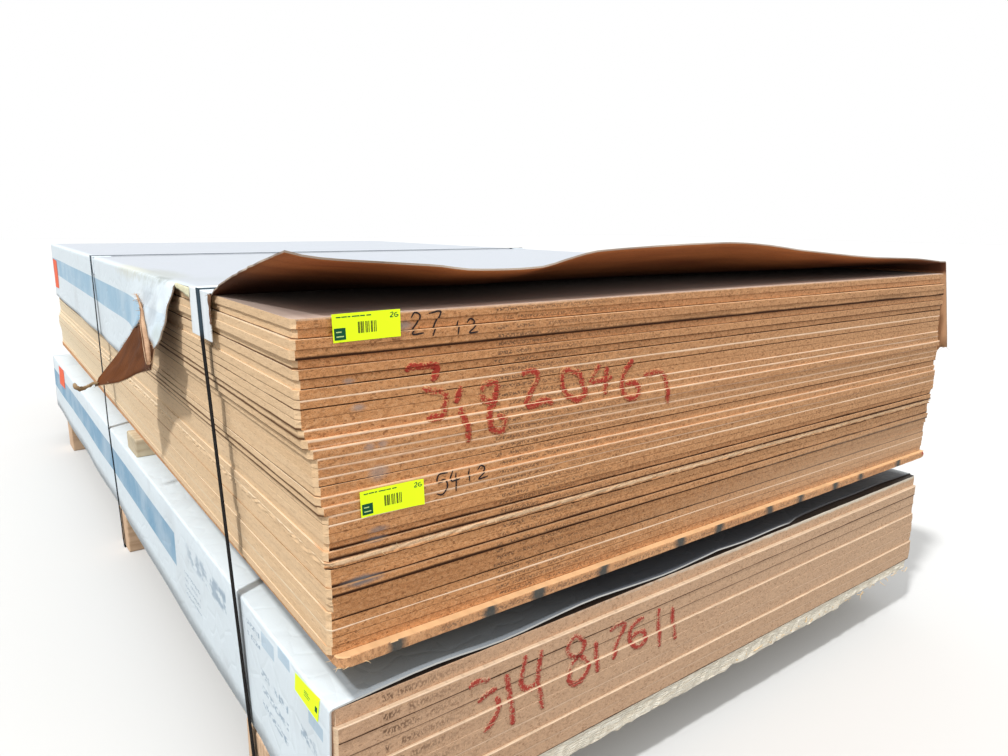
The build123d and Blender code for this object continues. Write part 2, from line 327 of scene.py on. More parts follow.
def waver(x, y, z):
    """A steady soft random number, from about -0.7 to 0.7, at a place."""
    return noise.noise(Vector((x, y, z)))


def grown_mesh(name, tree, values, guide=None):
    """A plain mesh made by a geometry nodes tree with these named values, along a guide if it needs one."""
    holder = in_scene(name, guide or bpy.data.meshes.new(name))
    grower = holder.modifiers.new(name, "NODES")
    grower.node_group = tree
    for item in tree.interface.items_tree:
        if item.in_out == "INPUT" and item.socket_type != "NodeSocketGeometry":
            grower[item.identifier] = values[item.name]
    mesh = baked(holder)
    bpy.data.objects.remove(holder)
    return mesh


def plan_of(cad_node):
    """A slipped board's near left, near right and far left corners, at its underside."""
    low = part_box(cad_node)[0].z
    points = [v.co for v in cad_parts[cad_node].data.vertices]
    near_left = min(points, key=lambda p: p.x + p.y)
    near_right = max(points, key=lambda p: p.x - p.y)
    far_left = max(points, key=lambda p: p.y - p.x)
    return [Vector((p.x, p.y, low)) for p in (near_left, near_right, far_left)]


def laid_board(name, cad_node, slot, gapes=(0.0, 0.0), side_gapes=(0.0, 0.0), **values):
    """A board grown to the size of its CAD node and laid in its place.

    It remembers how the joints above and below it look, on its ends and on its sides: 1 gapes
    darkly, with painted shade under the sheet above, -1 shows pale veneer."""
    near_left, near_right, far_left = plan_of(cad_node)
    low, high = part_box(cad_node)
    across, along = near_right - near_left, far_left - near_left
    sizes = {"Width": across.length, "Length": along.length, "Thickness": high.z - low.z,
             "Step": BOARD_STEP, "Reach": FRAY_REACH}
    mesh = grown_mesh(name, boards, sizes | values)
    middle = near_left + across / 2 + along / 2
    turn = math.atan2(across.y, across.x)
    mesh.transform(Matrix.Translation(middle) @ Matrix.Rotation(turn, 4, "Z"))
    half_way = (low.z + high.z) / 2
    for key, (over, under) in (("gape", gapes), ("side_gape", side_gapes)):
        looks = [over if v.co.z > half_way else under for v in mesh.vertices]
        mesh.attributes.new(key, "FLOAT", "POINT").data.foreach_set("value", looks)
    return piece_of(name, mesh, slot, cad_node)


def blotted(tree, colour, patches):
    """A colour with blots on it: each a centre, a reach along X, Y and Z, a colour and a strength."""
    ragged = cloud(tree, object_space(tree), 90.0, 4.0)
    for centre, reach, blot, strength in patches:
        place = vectors(tree, "SUBTRACT", object_space(tree), centre)["Vector"]
        away = vectors(tree, "LENGTH", vectors(tree, "DIVIDE", place, reach)["Vector"])["Value"]
        edge = plus(tree, away, ragged)
        colour = mix(tree, remap(tree, edge, 1.7, 0.9, 0.0, strength), colour, blot)
    return colour


def fibre_tree():
    """Geometry nodes for torn fibres: bent hairs, thinner to their tips, at random along a guide line."""
    tree, given = new_tree("torn_fibres", ("Guide", "Geometry"), ("Spacing", "Float"), ("Length", "Float"),
                           ("Width", "Float"), ("Seed", "Float"), ("Finish", "Material"))
    bent = {"Resolution": 4, "Start": (0, 0, 0), "Middle": (0.3, 0, 0.45), "End": (0.05, 0.2, 1.0)}
    hair = output(tree, "GeometryNodeCurveQuadraticBezier", bent)
    along_hair = tree.nodes.new("GeometryNodeSplineParameter").outputs["Factor"]
    tip = remap(tree, along_hair, 0.0, 1.0, 1.0, 0.25)
    radius = maths(tree, "DIVIDE", times(tree, given["Width"], 0.5), given["Length"])
    ring = output(tree, "GeometryNodeCurvePrimitiveCircle", {"Resolution": 4, "Radius": radius},
                  mode="RADIUS")
    solid = output(tree, "GeometryNodeCurveToMesh",
                   {"Curve": hair, "Profile Curve": ring, "Scale": tip, "Fill Caps": True})
    line = output(tree, "GeometryNodeMeshToCurve", {"Mesh": given["Guide"]})
    roots = output(tree, "GeometryNodeCurveToPoints", {"Curve": line, "Length": given["Spacing"]},
                   mode="LENGTH")
    turn = output(tree, "FunctionNodeRandomValue",
                  {0: (-3.1, -3.1, -3.1), 1: (3.1, 3.1, 3.1), "Seed": given["Seed"]},
                  data_type="FLOAT_VECTOR")
    size = add_node(tree, "FunctionNodeRandomValue", {2: 0.35, 3: 1.0, "Seed": given["Seed"]},
                    data_type="FLOAT").outputs[1]
    turned = output(tree, "FunctionNodeEulerToRotation", {0: turn})
    placed = output(tree, "GeometryNodeInstanceOnPoints",
                    {"Points": roots, "Instance": solid, "Rotation": turned,
                     "Scale": times(tree, size, given["Length"])})
    single = output(tree, "GeometryNodeRealizeInstances", {0: placed})
    single = output(tree, "GeometryNodeSetMaterial",
                    {"Geometry": single, "Material": given["Finish"]})
    out = tree.nodes.new("NodeGroupOutput")
    tree.links.new(single, out.inputs[0])
    return tree


def torn_fibres(name, lines, finish, slot, **values):
    """Fibres that stand out all along these lines of places."""
    places, edges = [], []
    for line in lines:
        edges += [(len(places) + i, len(places) + i + 1) for i in range(len(line) - 1)]
        places += [tuple(place) for place in line]
    guide = bpy.data.meshes.new(name)
    guide.from_pydata(places, edges, [])
    shape = bmesh.new()
    shape.from_mesh(grown_mesh(name, fibres, values | {"Finish": finish}, guide))
    return stand_in(name, shape, [finish], slot)


boards, fibres = board_tree(), fibre_tree()
base_edge, tree, shader = new_material("splintered_board", 0.9)
strands = streaky(tree, (60, 60, 700), 5.0)
flakes = streaky(tree, (160, 160, 500), 2.0)
colour = mix(tree, remap(tree, strands, 0.35, 0.65), BASE_DARK, BASE_PALE)
colour = mix(tree, remap(tree, flakes, 0.55, 0.75, 0.0, 0.5), colour, BASE_FLAKE)
coat(tree, shader, colour, strands, 0.003)
base = laid_board("lower_base", "lower_base_board", "pale_board", Skin=0.0025, Rim=0.001, Wear=0.004,
                  Fray=0.006, Reach=0.02, Corner=0.004, Seed=3.0, Faces=base_edge, Ends=base_edge,
                  Sides=base_edge)
near_left, near_right, _ = plan_of("lower_base_board")
half_way = sum(corner.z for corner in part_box("lower_base_board")) / 2
for vert in base.data.vertices:
    along = (vert.co.x - near_left.x) / (near_right.x - near_left.x)
    if vert.co.z < half_way and vert.co.y - near_left.lerp(near_right, along).y < 0.02:
        rag = 1.0 + 0.5 * waver(vert.co.x * 40, 0, 3)
        vert.co.z -= SAG * rag * min(1.0, max(0.0, (SAG_END - vert.co.x) / 0.02))
splinters, _, shader = new_material("splinters", 0.9)
shader.inputs["Base Color"].default_value = SPLINTER_PALE
front_edge = [near_left.lerp(near_right, share) + Vector((0, 0, -0.001)) for share in SPLINTER_PLACES]
torn_fibres("lower_base_splinters", [front_edge], splinters, "pale_board",
            Spacing=0.021, Length=0.022, Width=0.0022, Seed=4.0)

# Lower lift: nine 3/4 inch sheets of veneered particleboard, laid one on the other.
# Wood chips pressed with resin, a thin pale veneer glued on each face, sawn to size.
VENEER = 0.0006
THICK_TONES = ((0.58, 0.352, 0.213), (0.64, 0.400, 0.251))
THICK_SIDE_TONES = ((0.80, 0.59, 0.39), (0.84, 0.64, 0.44))
SPECK_DARK = (0.19, 0.075, 0.03)
SPECK_PALE = (0.82, 0.50, 0.27)
JOINT_DARK = (0.040, 0.014, 0.005)
JOINT_PALE = (0.97, 0.72, 0.51)
SIDE_PALE = (0.86, 0.72, 0.53)
SIDE_DARK = (0.15, 0.075, 0.034)
JOINT_SHUT = 0.0007
JOINT_OPEN = 0.0031
LEDGE_WIDE = (0.0012, 0.0022)
PRINT_BROWN = (0.15, 0.085, 0.05)
VENEER_PALE = (0.72, 0.55, 0.38)
VENEER_DARK = (0.60, 0.44, 0.30)
VENEER_PAINTED_SHADE = ((0.05, 0.034, 0.024), (0.03, 0.02, 0.014))
THICK_FAR = (0.64, 0.45, 0.30)
BEHIND_FRONT = (-1.205, -1.190)
LIT_STRIP_PAINT = (0.76, 0.70, 0.58)
THICK_PRINT = (-0.49, -0.30)
# How each joint looks, counted from the top: 1 gapes darkly, with painted shade under the sheet above, -1
# shows pale veneer
THICK_GAPES = {0: -0.1, 1: -0.9, 2: 0.5, 3: 0.25, 4: -0.8, 6: -0.5, 7: -0.8, 8: -0.4, 9: 0.4}


def chance(tree, value):
    """A steady random number for each whole value."""
    return add_node(tree, "ShaderNodeTexWhiteNoise", {"W": value}, noise_dimensions="1D").outputs["Value"]


def place_on(tree):
    """X, Y and Z of a place on the piece."""
    return parted(tree, object_space(tree))


def chip_colour(tree, look, first_layer, layer):
    """Pressed chips on a cut edge, with the joints between the sheets, and their relief."""
    x, y, z = place_on(tree)
    level = maths(tree, "DIVIDE", minus(tree, z, first_layer), layer)
    sheet = maths(tree, "FLOOR", level)
    drift = streaky(tree, (5, 5, 30), 4.0)
    share = plus(tree, times(tree, chance(tree, sheet), 0.2), times(tree, drift, 0.8))
    colour = mix(tree, remap(tree, share, 0.3, 0.7), *look["tones"])
    if "far" in look:
        along = x if look["towards"] == "X" else y
        colour = mix(tree, remap(tree, along, -1.2, 1.2, 0.0, 1.0), colour, look["far"])
    chips = add_node(tree, "ShaderNodeTexVoronoi",
                     {"Vector": object_space(tree, look["chips"]), "Scale": 1.0}).outputs["Color"]
    dark, pale, _ = parted(tree, chips)
    coarse = streaky(tree, tuple(s * 0.55 for s in look["chips"]), 2.0)
    fine = streaky(tree, tuple(s * 2.1 for s in look["chips"]), 2.0)
    for kind, none, full, strength, speck in (
            (coarse, 0.52, 0.36, 0.45, SPECK_DARK), (coarse, 0.52, 0.70, 0.45, SPECK_PALE),
            (pale, 0.82, 0.96, 0.45, SPECK_PALE), (fine, 0.52, 0.68, 1.1, SPECK_DARK),
            (dark, 0.10, 0.05, 0.95, SPECK_DARK)):
        colour = mix(tree, remap(tree, kind, none, full, 0.0, look["mottle"] * strength), colour, speck)
    # Painted shade: a dark line along each joint, wider where it gapes, for the dark gap and the shade under
    # the sheet above.
    gape = add_node(tree, "ShaderNodeAttribute", attribute_name=look["gapes"]).outputs["Fac"]
    from_joint = maths(tree, "ABSOLUTE", minus(tree, level, maths(tree, "ROUND", level)))
    away = times(tree, from_joint, layer)
    opened = maths(tree, "MAXIMUM", gape, 0.0)
    wander = remap(tree, streaky(tree, (7, 7, 90), 3.0), 0.35, 0.65, 0.6, 1.35)
    reach = plus(tree, times(tree, opened, JOINT_OPEN), JOINT_SHUT)
    reach = times(tree, reach, wander)
    line = remap(tree, away, times(tree, reach, 0.5), reach, 1.0, 0.0)
    depth = remap(tree, opened, 0.0, 0.35, look["joints"], 1.0)
    colour = mix(tree, times(tree, line, depth), colour, look.get("joint", JOINT_DARK))
    near, far = [times(tree, wander, wide) for wide in LEDGE_WIDE]
    line = remap(tree, away, near, far, 1.0, 0.0)
    depth = remap(tree, gape, 0.0, -0.8)
    colour = mix(tree, times(tree, line, depth), colour, look.get("ledge", JOINT_PALE))
    return colour, plus(tree, coarse, fine)


def printed(tree, colour, along, level, start, end, ink_colour, letter=420.0, strength=0.9):
    """Rows of print too small to read, one in each whole level, that fade from start to end."""
    row = maths(tree, "FLOOR", level)
    within = minus(tree, level, row)
    slip = times(tree, chance(tree, plus(tree, row, 0.3)), 0.006)
    place = plus(tree, along, slip)

    def marks(fineness, down, change, detail):
        """A random value that varies along a row, and from row to row."""
        flat = output(tree, "ShaderNodeCombineXYZ",
                      {0: times(tree, place, fineness), 1: times(tree, down, change)})
        return cloud(tree, flat, 1.0, detail)

    letters, words = marks(letter, level, 4.3, 2.0), marks(letter * 0.11, row, 5.1, 1.0)
    faded = maths(tree, "POWER", remap(tree, place, end, start), 1.6)
    ink = remap(tree, letters, 0.44, 0.56)
    for part in (remap(tree, words, 0.38, 0.43), remap(tree, within, 0.24, 0.34),
                 remap(tree, within, 0.76, 0.66), remap(tree, place, start, start + 0.002), faded):
        ink = times(tree, ink, part)
    return mix(tree, times(tree, ink, strength), colour, ink_colour)


def joint_looks(gapes, number):
    """How the joints over and under a sheet look on it: pale only over it, and dark only under it."""
    return min(gapes.get(number - 1, 0.0), 0.0), max(gapes.get(number, 0.0), 0.0)


def chip_edge(name, look, first_layer, layer, patches=(), print_run=None):
    """The sawn edge of particleboard sheets that lie one on the other."""
    material, tree, shader = new_material(name, 0.9)
    shader.inputs["Specular IOR Level"].default_value = 0.15
    colour, height = chip_colour(tree, look, first_layer, layer)
    if print_run:
        x, _, z = place_on(tree)
        level = maths(tree, "DIVIDE", minus(tree, z, first_layer), layer)
        colour = printed(tree, colour, x, level, *print_run, PRINT_BROWN, 420.0, 0.92)
    if patches:
        colour = blotted(tree, colour, patches)
    coat(tree, shader, colour, height, 0.0004, 0.7)
    return material


def veneer_face(name, pale, dark, side=None):
    """A thin sliced veneer: long straight pores along the sheet.

    Behind its front edge it may be another colour, which shows on the ledges along the sides."""
    material, tree, shader = new_material(name, 0.62)
    pores = streaky(tree, (260, 6, 60), 4.0)
    bands = streaky(tree, (18, 0.8, 18), 3.0)
    colour = mix(tree, remap(tree, bands, 0.3, 0.7), pale, dark)
    colour = mix(tree, remap(tree, pores, 0.52, 0.7, 0.0, 0.5), colour, tuple(c * 0.6 for c in dark))
    if side:
        _, y, _ = place_on(tree)
        colour = mix(tree, remap(tree, y, *BEHIND_FRONT, 0.0, 0.85), colour, side)
    coat(tree, shader, colour, pores, 0.0003)
    return material


thick_nodes = [f"lower_panel_{number:02d}" for number in range(1, 10)]
lower_low, lower_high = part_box(thick_nodes[-1])
thick = lower_high.z - lower_low.z
thick_end_look = {"tones": THICK_TONES, "mottle": 0.38, "joints": 0.15, "gapes": "gape",
                  "chips": (360, 360, 560), "far": THICK_FAR, "towards": "X"}
thick_side_look = {"tones": THICK_SIDE_TONES, "mottle": 0.16, "joints": 0.1, "gapes": "side_gape",
                   "chips": (430, 120, 700)}
birch_veneer = veneer_face("pale_veneer", VENEER_PALE, VENEER_DARK)
top_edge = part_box(thick_nodes[0])
# Painted light: a pale band along the top of the lower lift's front stands for the sunlit strip at its top
# edge.
lit_strip_line = (0.48, top_edge[0].y, top_edge[1].z - 0.0015)
painted_lit_strip = [(lit_strip_line, (0.62, 0.2, 0.0042), LIT_STRIP_PAINT, 0.92)]
thick_ends = chip_edge("thick_sheet_ends", thick_end_look, lower_low.z, thick, painted_lit_strip, THICK_PRINT)
# Painted shade: the top sheet's upper veneer is near black, for the shade under the lower cap's lip.
shaded_top_veneer = veneer_face("veneer_under_cap", *VENEER_PAINTED_SHADE)
thick_sides = chip_edge("thick_sheet_sides", thick_side_look, lower_low.z, thick)
for number, cad_node in enumerate(thick_nodes, start=1):
    gapes = joint_looks(THICK_GAPES, number)
    faces = shaded_top_veneer if number == 1 else birch_veneer
    laid_board(f"lower_sheet_{number:02d}", cad_node, "thick_sheet", gapes, Skin=VENEER, Rim=0.0002,
               Wear=0.0004, Fray=0.0015, Corner=0.002, Seed=float(number), Faces=faces, Ends=thick_ends,
               Sides=thick_sides)

# Lower cap: a white-faced cardboard sheet with a flap folded down each long side, which
# keeps rain and straps off the sheets. Its blue band and small marks are printed on.
CAP_THICK = 0.002
CAP_GAP = 0.0003
FLAP_DEPTH = 0.178
FOLD_ROUND = 0.004
CAP_STEP = 0.03
PAPER = (0.77, 0.86, 0.91)
PAPER_GREY = (0.50, 0.53, 0.55)
LOWER_BLUE = (0.17, 0.36, 0.53)
INK_BLUE = (0.20, 0.31, 0.42)
KRAFT = (0.36, 0.135, 0.055)
KRAFT_DARK = (0.20, 0.070, 0.030)
TORN_PALE = (0.66, 0.50, 0.34)
FLAP_SHADED = (0.16, 0.072, 0.045)
FLAP_LIT = (0.66, 0.37, 0.20)
TORN_DARK = (0.42, 0.26, 0.15)
RIM_LIT = (0.56, 0.55, 0.52)
RIM_SHADED = (0.06, 0.058, 0.06)
# Printed bands: start and end along the cap, top and bottom down the flap, and strength
LOWER_BANDS = [(0.655, 3.0, 0.044, 0.104, 1.0), (0.163, 0.207, 0.012, 0.031, 0.55),
               (0.111, 0.148, 0.003, 0.017, 0.55), (0.018, 0.057, 0.033, 0.047, 0.5)]
# Printed rows: start and end along the cap, top and bottom down the flap, and a row's height
LOWER_PRINTS = [(0.358, 0.585, 0.008, 0.083, 0.075), (0.505, 0.600, 0.086, 0.134, 0.012),
                (0.215, 0.264, 0.016, 0.048, 0.016), (0.120, 0.215, 0.060, 0.126, 0.022),
                (0.034, 0.080, 0.054, 0.087, 0.033)]
TOP_PAINTED_DIM = (0.51, 0.545, 0.595)
TOP_SHADE = (0.024, 0.028, 0.040)
# Shade under the upper lift: where it starts and is full along X, and its strength
UNDER_LIFT = ((-0.527, -0.521, 0.62), (-0.52, -0.15, 0.84))
GRIME = (0.30, 0.27, 0.24)
LIP_RISE = 0.006
LIP_REACH = 0.05
LIP_STEP = (0.80, 0.83)
LIP_BACK = 0.010
LOWER_STRAPS = (0.275, 1.25)
LOWER_PINCH = 0.1
FLAP_FLARE = 0.004
FLAP_BULGE = 0.004


def white_paper(name, bands, band_colour, prints, shaded=False, tear_blots=()):
    """Printed white paper on cardboard. It reads the flat sheet: along it, and down its flaps."""
    material, tree, shader = new_material(name, 0.55)
    flat = output(tree, "ShaderNodeUVMap", uv_map="flat")
    along, drop, _ = parted(tree, flat)
    worn = cloud(tree, flat, 22.0, 5.0)
    scuffs = cloud(tree, object_space(tree), 6.0, 6.0)
    # Painted shade: on the upper cap the top is darker than the flaps, to offset the stronger light on it.
    colour = mix(tree, remap(tree, drop, 0.006, -0.02), PAPER, PAPER if shaded else TOP_PAINTED_DIM)
    colour = mix(tree, remap(tree, worn, 0.55, 0.8, 0.0, 0.22), colour, PAPER_GREY)
    colour = mix(tree, remap(tree, scuffs, 0.56, 0.72, 0.0, 0.25), colour, PAPER_GREY)
    near_fold = remap(tree, maths(tree, "ABSOLUTE", minus(tree, drop, 0.001)), 0.001, 0.007, 1.0, 0.0)
    drawn_out = output(tree, "ShaderNodeMapping", {"Vector": flat, "Scale": (17, 260, 1)})
    cracks = remap(tree, cloud(tree, drawn_out, 1.0, 5.0), 0.52, 0.72)
    colour = mix(tree, times(tree, times(tree, near_fold, cracks), 0.3), colour, GRIME)
    if shaded:
        # Painted shade: the lower cap's top darkens under the upper lift.
        x, _, _ = place_on(tree)
        for start, end, strength in UNDER_LIFT:
            under_lift = times(tree, remap(tree, x, start, end, 0.0, strength), remap(tree, drop, 0.0, -0.03))
            colour = mix(tree, under_lift, colour, TOP_SHADE)

    def window(low_along, high_along, low_drop, high_drop, blur=0.001):
        """1 inside a rectangle of the flat sheet, 0 outside."""
        sides = []
        for way, low, high in ((along, low_along, high_along), (drop, low_drop, high_drop)):
            sides += [remap(tree, way, low - blur, low), remap(tree, way, high + blur, high)]
        inside = sides[0]
        for side in sides[1:]:
            inside = times(tree, inside, side)
        return inside

    faded = remap(tree, cloud(tree, flat, 9.0, 4.0), 0.4, 0.7, 1.0, 0.58)
    for start, end, top, bottom, strength in bands:
        inside = times(tree, window(start, end, top, bottom), strength)
        colour = mix(tree, times(tree, inside, faded), colour, band_colour)
    for low_along, high_along, low_drop, high_drop, row in prints:
        level = maths(tree, "DIVIDE", minus(tree, drop, low_drop), row)
        lettered = printed(tree, colour, along, level, low_along, high_along + 0.6, INK_BLUE, 2.6 / row, 0.78)
        colour = mix(tree, window(low_along, high_along, low_drop, high_drop), colour, lettered)
    colour = blotted(tree, colour, tear_blots)
    creases = add_node(tree, "ShaderNodeTexVoronoi", {"Vector": flat, "Scale": 26.0},
                       feature="DISTANCE_TO_EDGE").outputs["Distance"]
    inputs = {"Vector": flat, "Scale": 63.0, "Distortion": 0.4, "Detail": 1.0}
    ribs = add_node(tree, "ShaderNodeTexWave", inputs, wave_type="BANDS", bands_direction="X").outputs["Fac"]
    ribs = times(tree, ribs, remap(tree, drop, -0.010, -0.04, 0.0, 0.14))
    height = plus(tree, remap(tree, creases, 0.0, 0.12), times(tree, worn, 1.5))
    coat(tree, shader, colour, plus(tree, height, ribs), 0.0010, 0.4)
    return material


def kraft_paper(name, pale, dark, shade=None, lit=None):
    """Bare brown cardboard: faint flutes and long soft stains.

    It may get painted shade, darkening by a share between two places along Y, sooner to the
    right, and where it hangs down at the far right it may get painted light, below a height."""
    material, tree, shader = new_material(name, 0.85)
    shader.inputs["Specular IOR Level"].default_value = 0.2
    patches = streaky(tree, (5, 22, 22), 5.0)
    fibres = streaky(tree, (700, 120, 700), 3.0)
    inputs = {"Vector": object_space(tree), "Scale": 38.0, "Distortion": 0.6, "Detail": 2.0}
    flutes = add_node(tree, "ShaderNodeTexWave", inputs, wave_type="BANDS", bands_direction="Y")
    colour = mix(tree, remap(tree, patches, 0.35, 0.7), pale, dark)
    colour = mix(tree, remap(tree, fibres, 0.5, 0.75, 0.0, 0.3), colour, tuple(c * 0.6 for c in dark))
    x, y, z = place_on(tree)
    if shade:
        start, end, share = shade
        deep = plus(tree, y, remap(tree, x, 0.38, 0.60, 0.0, 0.13))
        colour = mix(tree, remap(tree, deep, start, end, 0.0, share), colour, tuple(c * 0.1 for c in dark))
    if lit:
        colour = mix(tree, remap(tree, x, 0.60, 0.67, 0.0, 0.65), colour, FLAP_SHADED)
        hangs = times(tree, remap(tree, z, *lit), remap(tree, x, 0.60, 0.64))
        colour = mix(tree, hangs, colour, FLAP_LIT)
    height = plus(tree, times(tree, flutes.outputs["Fac"], 0.4), fibres)
    coat(tree, shader, colour, height, 0.0006, 0.6)
    return material


def over_fold(path, radius):
    """How far inward and down a cap lies at this length of its path: below 0 is down the flap."""
    arc = radius * math.pi / 2
    if path >= arc / 2:
        return radius + path - arc / 2, 0.0
    if path <= -arc / 2:
        return 0.0, radius - path - arc / 2
    angle = (path / arc + 0.5) * math.pi / 2
    return radius - radius * math.cos(angle), radius - radius * math.sin(angle)


def spread(start, end, step):
    """Evenly spaced places from start to end, about a step apart."""
    count = max(1, round(abs(end - start) / step))
    return [start + (end - start) * number / count for number in range(count + 1)]


def add_grid(shape, rows, material=0):
    """Adds a sheet of four-sided faces. Each row holds (place, (along, drop)) pairs."""
    flat = shape.loops.layers.uv.get("flat") or shape.loops.layers.uv.new("flat")
    verts = [[shape.verts.new(place) for place, _ in row] for row in rows]
    for r in range(len(rows) - 1):
        for c in range(len(rows[0]) - 1):
            corners = [(r, c), (r, c + 1), (r + 1, c + 1), (r + 1, c)]
            face = shape.faces.new([verts[i][j] for i, j in corners])
            face.material_index = material
            face.smooth = True
            for loop, (i, j) in zip(face.loops, corners):
                loop[flat].uv = rows[i][j][1]


def thickened(piece, thickness):
    """Gives a sheet its thickness, on the inner side, with the next materials there and on its rim."""
    solid = piece.modifiers.new("thickness", "SOLIDIFY")
    solid.thickness = thickness
    solid.offset = -1
    solid.material_offset = 1
    solid.material_offset_rim = 2
    solid.use_even_offset = True
    piece.data = baked(piece)
    for polygon in piece.data.polygons:
        if polygon.material_index == 2:
            polygon.use_smooth = False


inside_kraft = kraft_paper("brown_inside", KRAFT, KRAFT_DARK)
torn_edge = kraft_paper("torn_edge", TORN_PALE, TORN_DARK)
# Painted light and shade: the cap board's rim is light on the left and dark to the right.
board_rim, tree, shader = new_material("board_rim", 0.85)
x, _, _ = place_on(tree)
coat(tree, shader, mix(tree, remap(tree, x, 0.22, 0.28), RIM_LIT, RIM_SHADED))
lower_white = white_paper("lower_cap_paper", LOWER_BANDS, LOWER_BLUE, LOWER_PRINTS, True)
near_left, near_right, far_left = plan_of(thick_nodes[0])
right_way, back_way = (near_right - near_left).normalized(), (far_left - near_left).normalized()
lower_width, lower_length = (near_right - near_left).length, (far_left - near_left).length
lower_cap_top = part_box("lower_cap")[1].z
overhang = CAP_GAP + CAP_THICK
outer_width = lower_width + 2 * overhang
half_path = outer_width / 2 - FOLD_ROUND + FOLD_ROUND * math.pi / 4
fold_arc = FOLD_ROUND * math.pi / 2
flap_end = -(FLAP_DEPTH + CAP_THICK - FOLD_ROUND + fold_arc / 2)
half_across = (spread(flap_end, -fold_arc / 2, CAP_STEP)[:-1]
               + spread(-fold_arc / 2, fold_arc / 2, fold_arc / 4)[:-1]
               + spread(fold_arc / 2, half_path, CAP_STEP))


def looseness(along, straps, pinch):
    """How loosely a flap hangs at a place along it: 0 where a strap holds it, up to 1."""
    loose = 1.0
    for strap in straps:
        loose -= math.exp(-((along - strap) / pinch) ** 2)
    return max(0.0, loose)


def lower_point(path, along, side):
    """A point of the lower cap's outer face: -1 is its left side. Gives its place on the flat sheet too."""
    inward, drop = over_fold(path, FOLD_ROUND)
    share = min(1.0, drop / FLAP_DEPTH)
    loose = looseness(along, LOWER_STRAPS, LOWER_PINCH)
    bulge = FLAP_BULGE * share * loose * (0.6 + waver(along * 3.1, drop * 6, side))
    bulge = (bulge + FLAP_FLARE * share * math.exp(-along / 0.06)) * (1.0 if side < 0 else 0.3)
    ripple = 0.9 + waver(inward * 7, 0, side)
    near_corner = min(1.0, inward / 0.08)
    lip = LIP_RISE * max(0.2, ripple) * near_corner * math.exp(-along / LIP_REACH) if drop == 0.0 else 0.0
    x = inward - overhang - bulge if side < 0 else outer_width - overhang - inward + bulge
    stepped = min(max((x - LIP_STEP[0]) / (LIP_STEP[1] - LIP_STEP[0]), 0.0), 1.0) * math.exp(-along / 0.02)
    place = near_left + right_way * x + back_way * (along + LIP_BACK * stepped)
    place.z = lower_cap_top - drop + lip
    return place, (along, drop if drop > 0 else -inward)


rows = []
for along in spread(0, 0.12, 0.008)[:-1] + spread(0.12, lower_length, CAP_STEP):
    row = [lower_point(path, along, -1) for path in half_across]
    row += [lower_point(path, along, 1) for path in half_across[-2::-1]]
    rows.append(row)
shape = bmesh.new()
add_grid(shape, rows)
lower_cap = stand_in("lower_cap_cardboard", shape, [lower_white, inside_kraft, board_rim],
                     "cap_board", "lower_cap")
thickened(lower_cap, CAP_THICK)

# Spacers: flat timbers laid across the lower cap, so that forks can take the upper lift
# off. Sawn softwood, loose, held by the weight on them.
SPACER_PALE = (0.66, 0.56, 0.39)
SPACER_DARK = (0.50, 0.38, 0.23)

spacer_wood = sawn_wood("spacer_wood", SPACER_PALE, SPACER_DARK)
for place in ("front", "middle", "rear"):
    timber(f"spacer_timber_{place}", f"spacer_{place}", spacer_wood, "sawn_timber")

# Upper base board: a yellow softwood plywood sheet that the upper lift was built up on.
# It stands out in front of the sheets, its corner is splintered and its edge is blotted.
PLY_PALE = (0.74, 0.40, 0.19)
PLY_DARK = (0.56, 0.26, 0.11)
PLY_FACE = (0.77, 0.49, 0.25)
PLY_FACE_DARK = (0.68, 0.42, 0.21)
BLOT = (0.052, 0.060, 0.056)
BLOT_PLACES = (-0.471, -0.352, -0.281, -0.175, -0.028, 0.056, 0.178, 0.261, 0.364, 0.445, 0.575)
BLOT_REACH = (0.0115, 0.05, 0.028)
PLY_PRINT = (-0.42, 2.4)
CORNER_RED = (0.45, 0.03, 0.04)

base_low, base_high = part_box("upper_base_board")
blot_z = (base_low.z + base_high.z) / 2
blots = [((x, base_low.y, blot_z), BLOT_REACH, BLOT, 0.95) for x in BLOT_PLACES]
blots.append(((base_high.x - 0.006, base_low.y, blot_z + 0.004), (0.014, 0.06, 0.006), CORNER_RED, 0.9))
ply_edge, tree, shader = new_material("base_board_edge", 0.85)
ply_look = {"tones": (PLY_DARK, PLY_PALE), "mottle": 0.42, "joints": 0.0, "gapes": "gape",
            "chips": (420, 300, 260)}
colour, grain = chip_colour(tree, ply_look, base_low.z, 1.0)
x, _, z = place_on(tree)
level = maths(tree, "DIVIDE", minus(tree, z, base_low.z), base_high.z - base_low.z)
colour = printed(tree, colour, x, level, *PLY_PRINT, PRINT_BROWN, 300.0, 0.7)
coat(tree, shader, blotted(tree, colour, blots), grain, 0.0008)
ply_face = sawn_wood("base_board_face", PLY_FACE, PLY_FACE_DARK, 24.0, (1, 0.08, 1), "Y")
laid_board("upper_base", "upper_base_board", "softwood_board", Skin=0.0008, Rim=0.0006, Wear=0.0008,
           Fray=0.006, Reach=0.012, Corner=0.0015, Seed=11.0, Faces=ply_face, Ends=ply_edge, Sides=ply_edge)
corner = plan_of("upper_base_board")[0]
round_corner = [corner + Vector(step) for step in ((0.001, 0.05, 0.003), (0.002, 0.002, 0.002),
                                                   (0.04, 0.001, 0.001))]
torn_fibres("upper_base_splinters", [round_corner], splinters, "softwood_board",
            Spacing=0.004, Length=0.009, Width=0.0013, Seed=7.0)

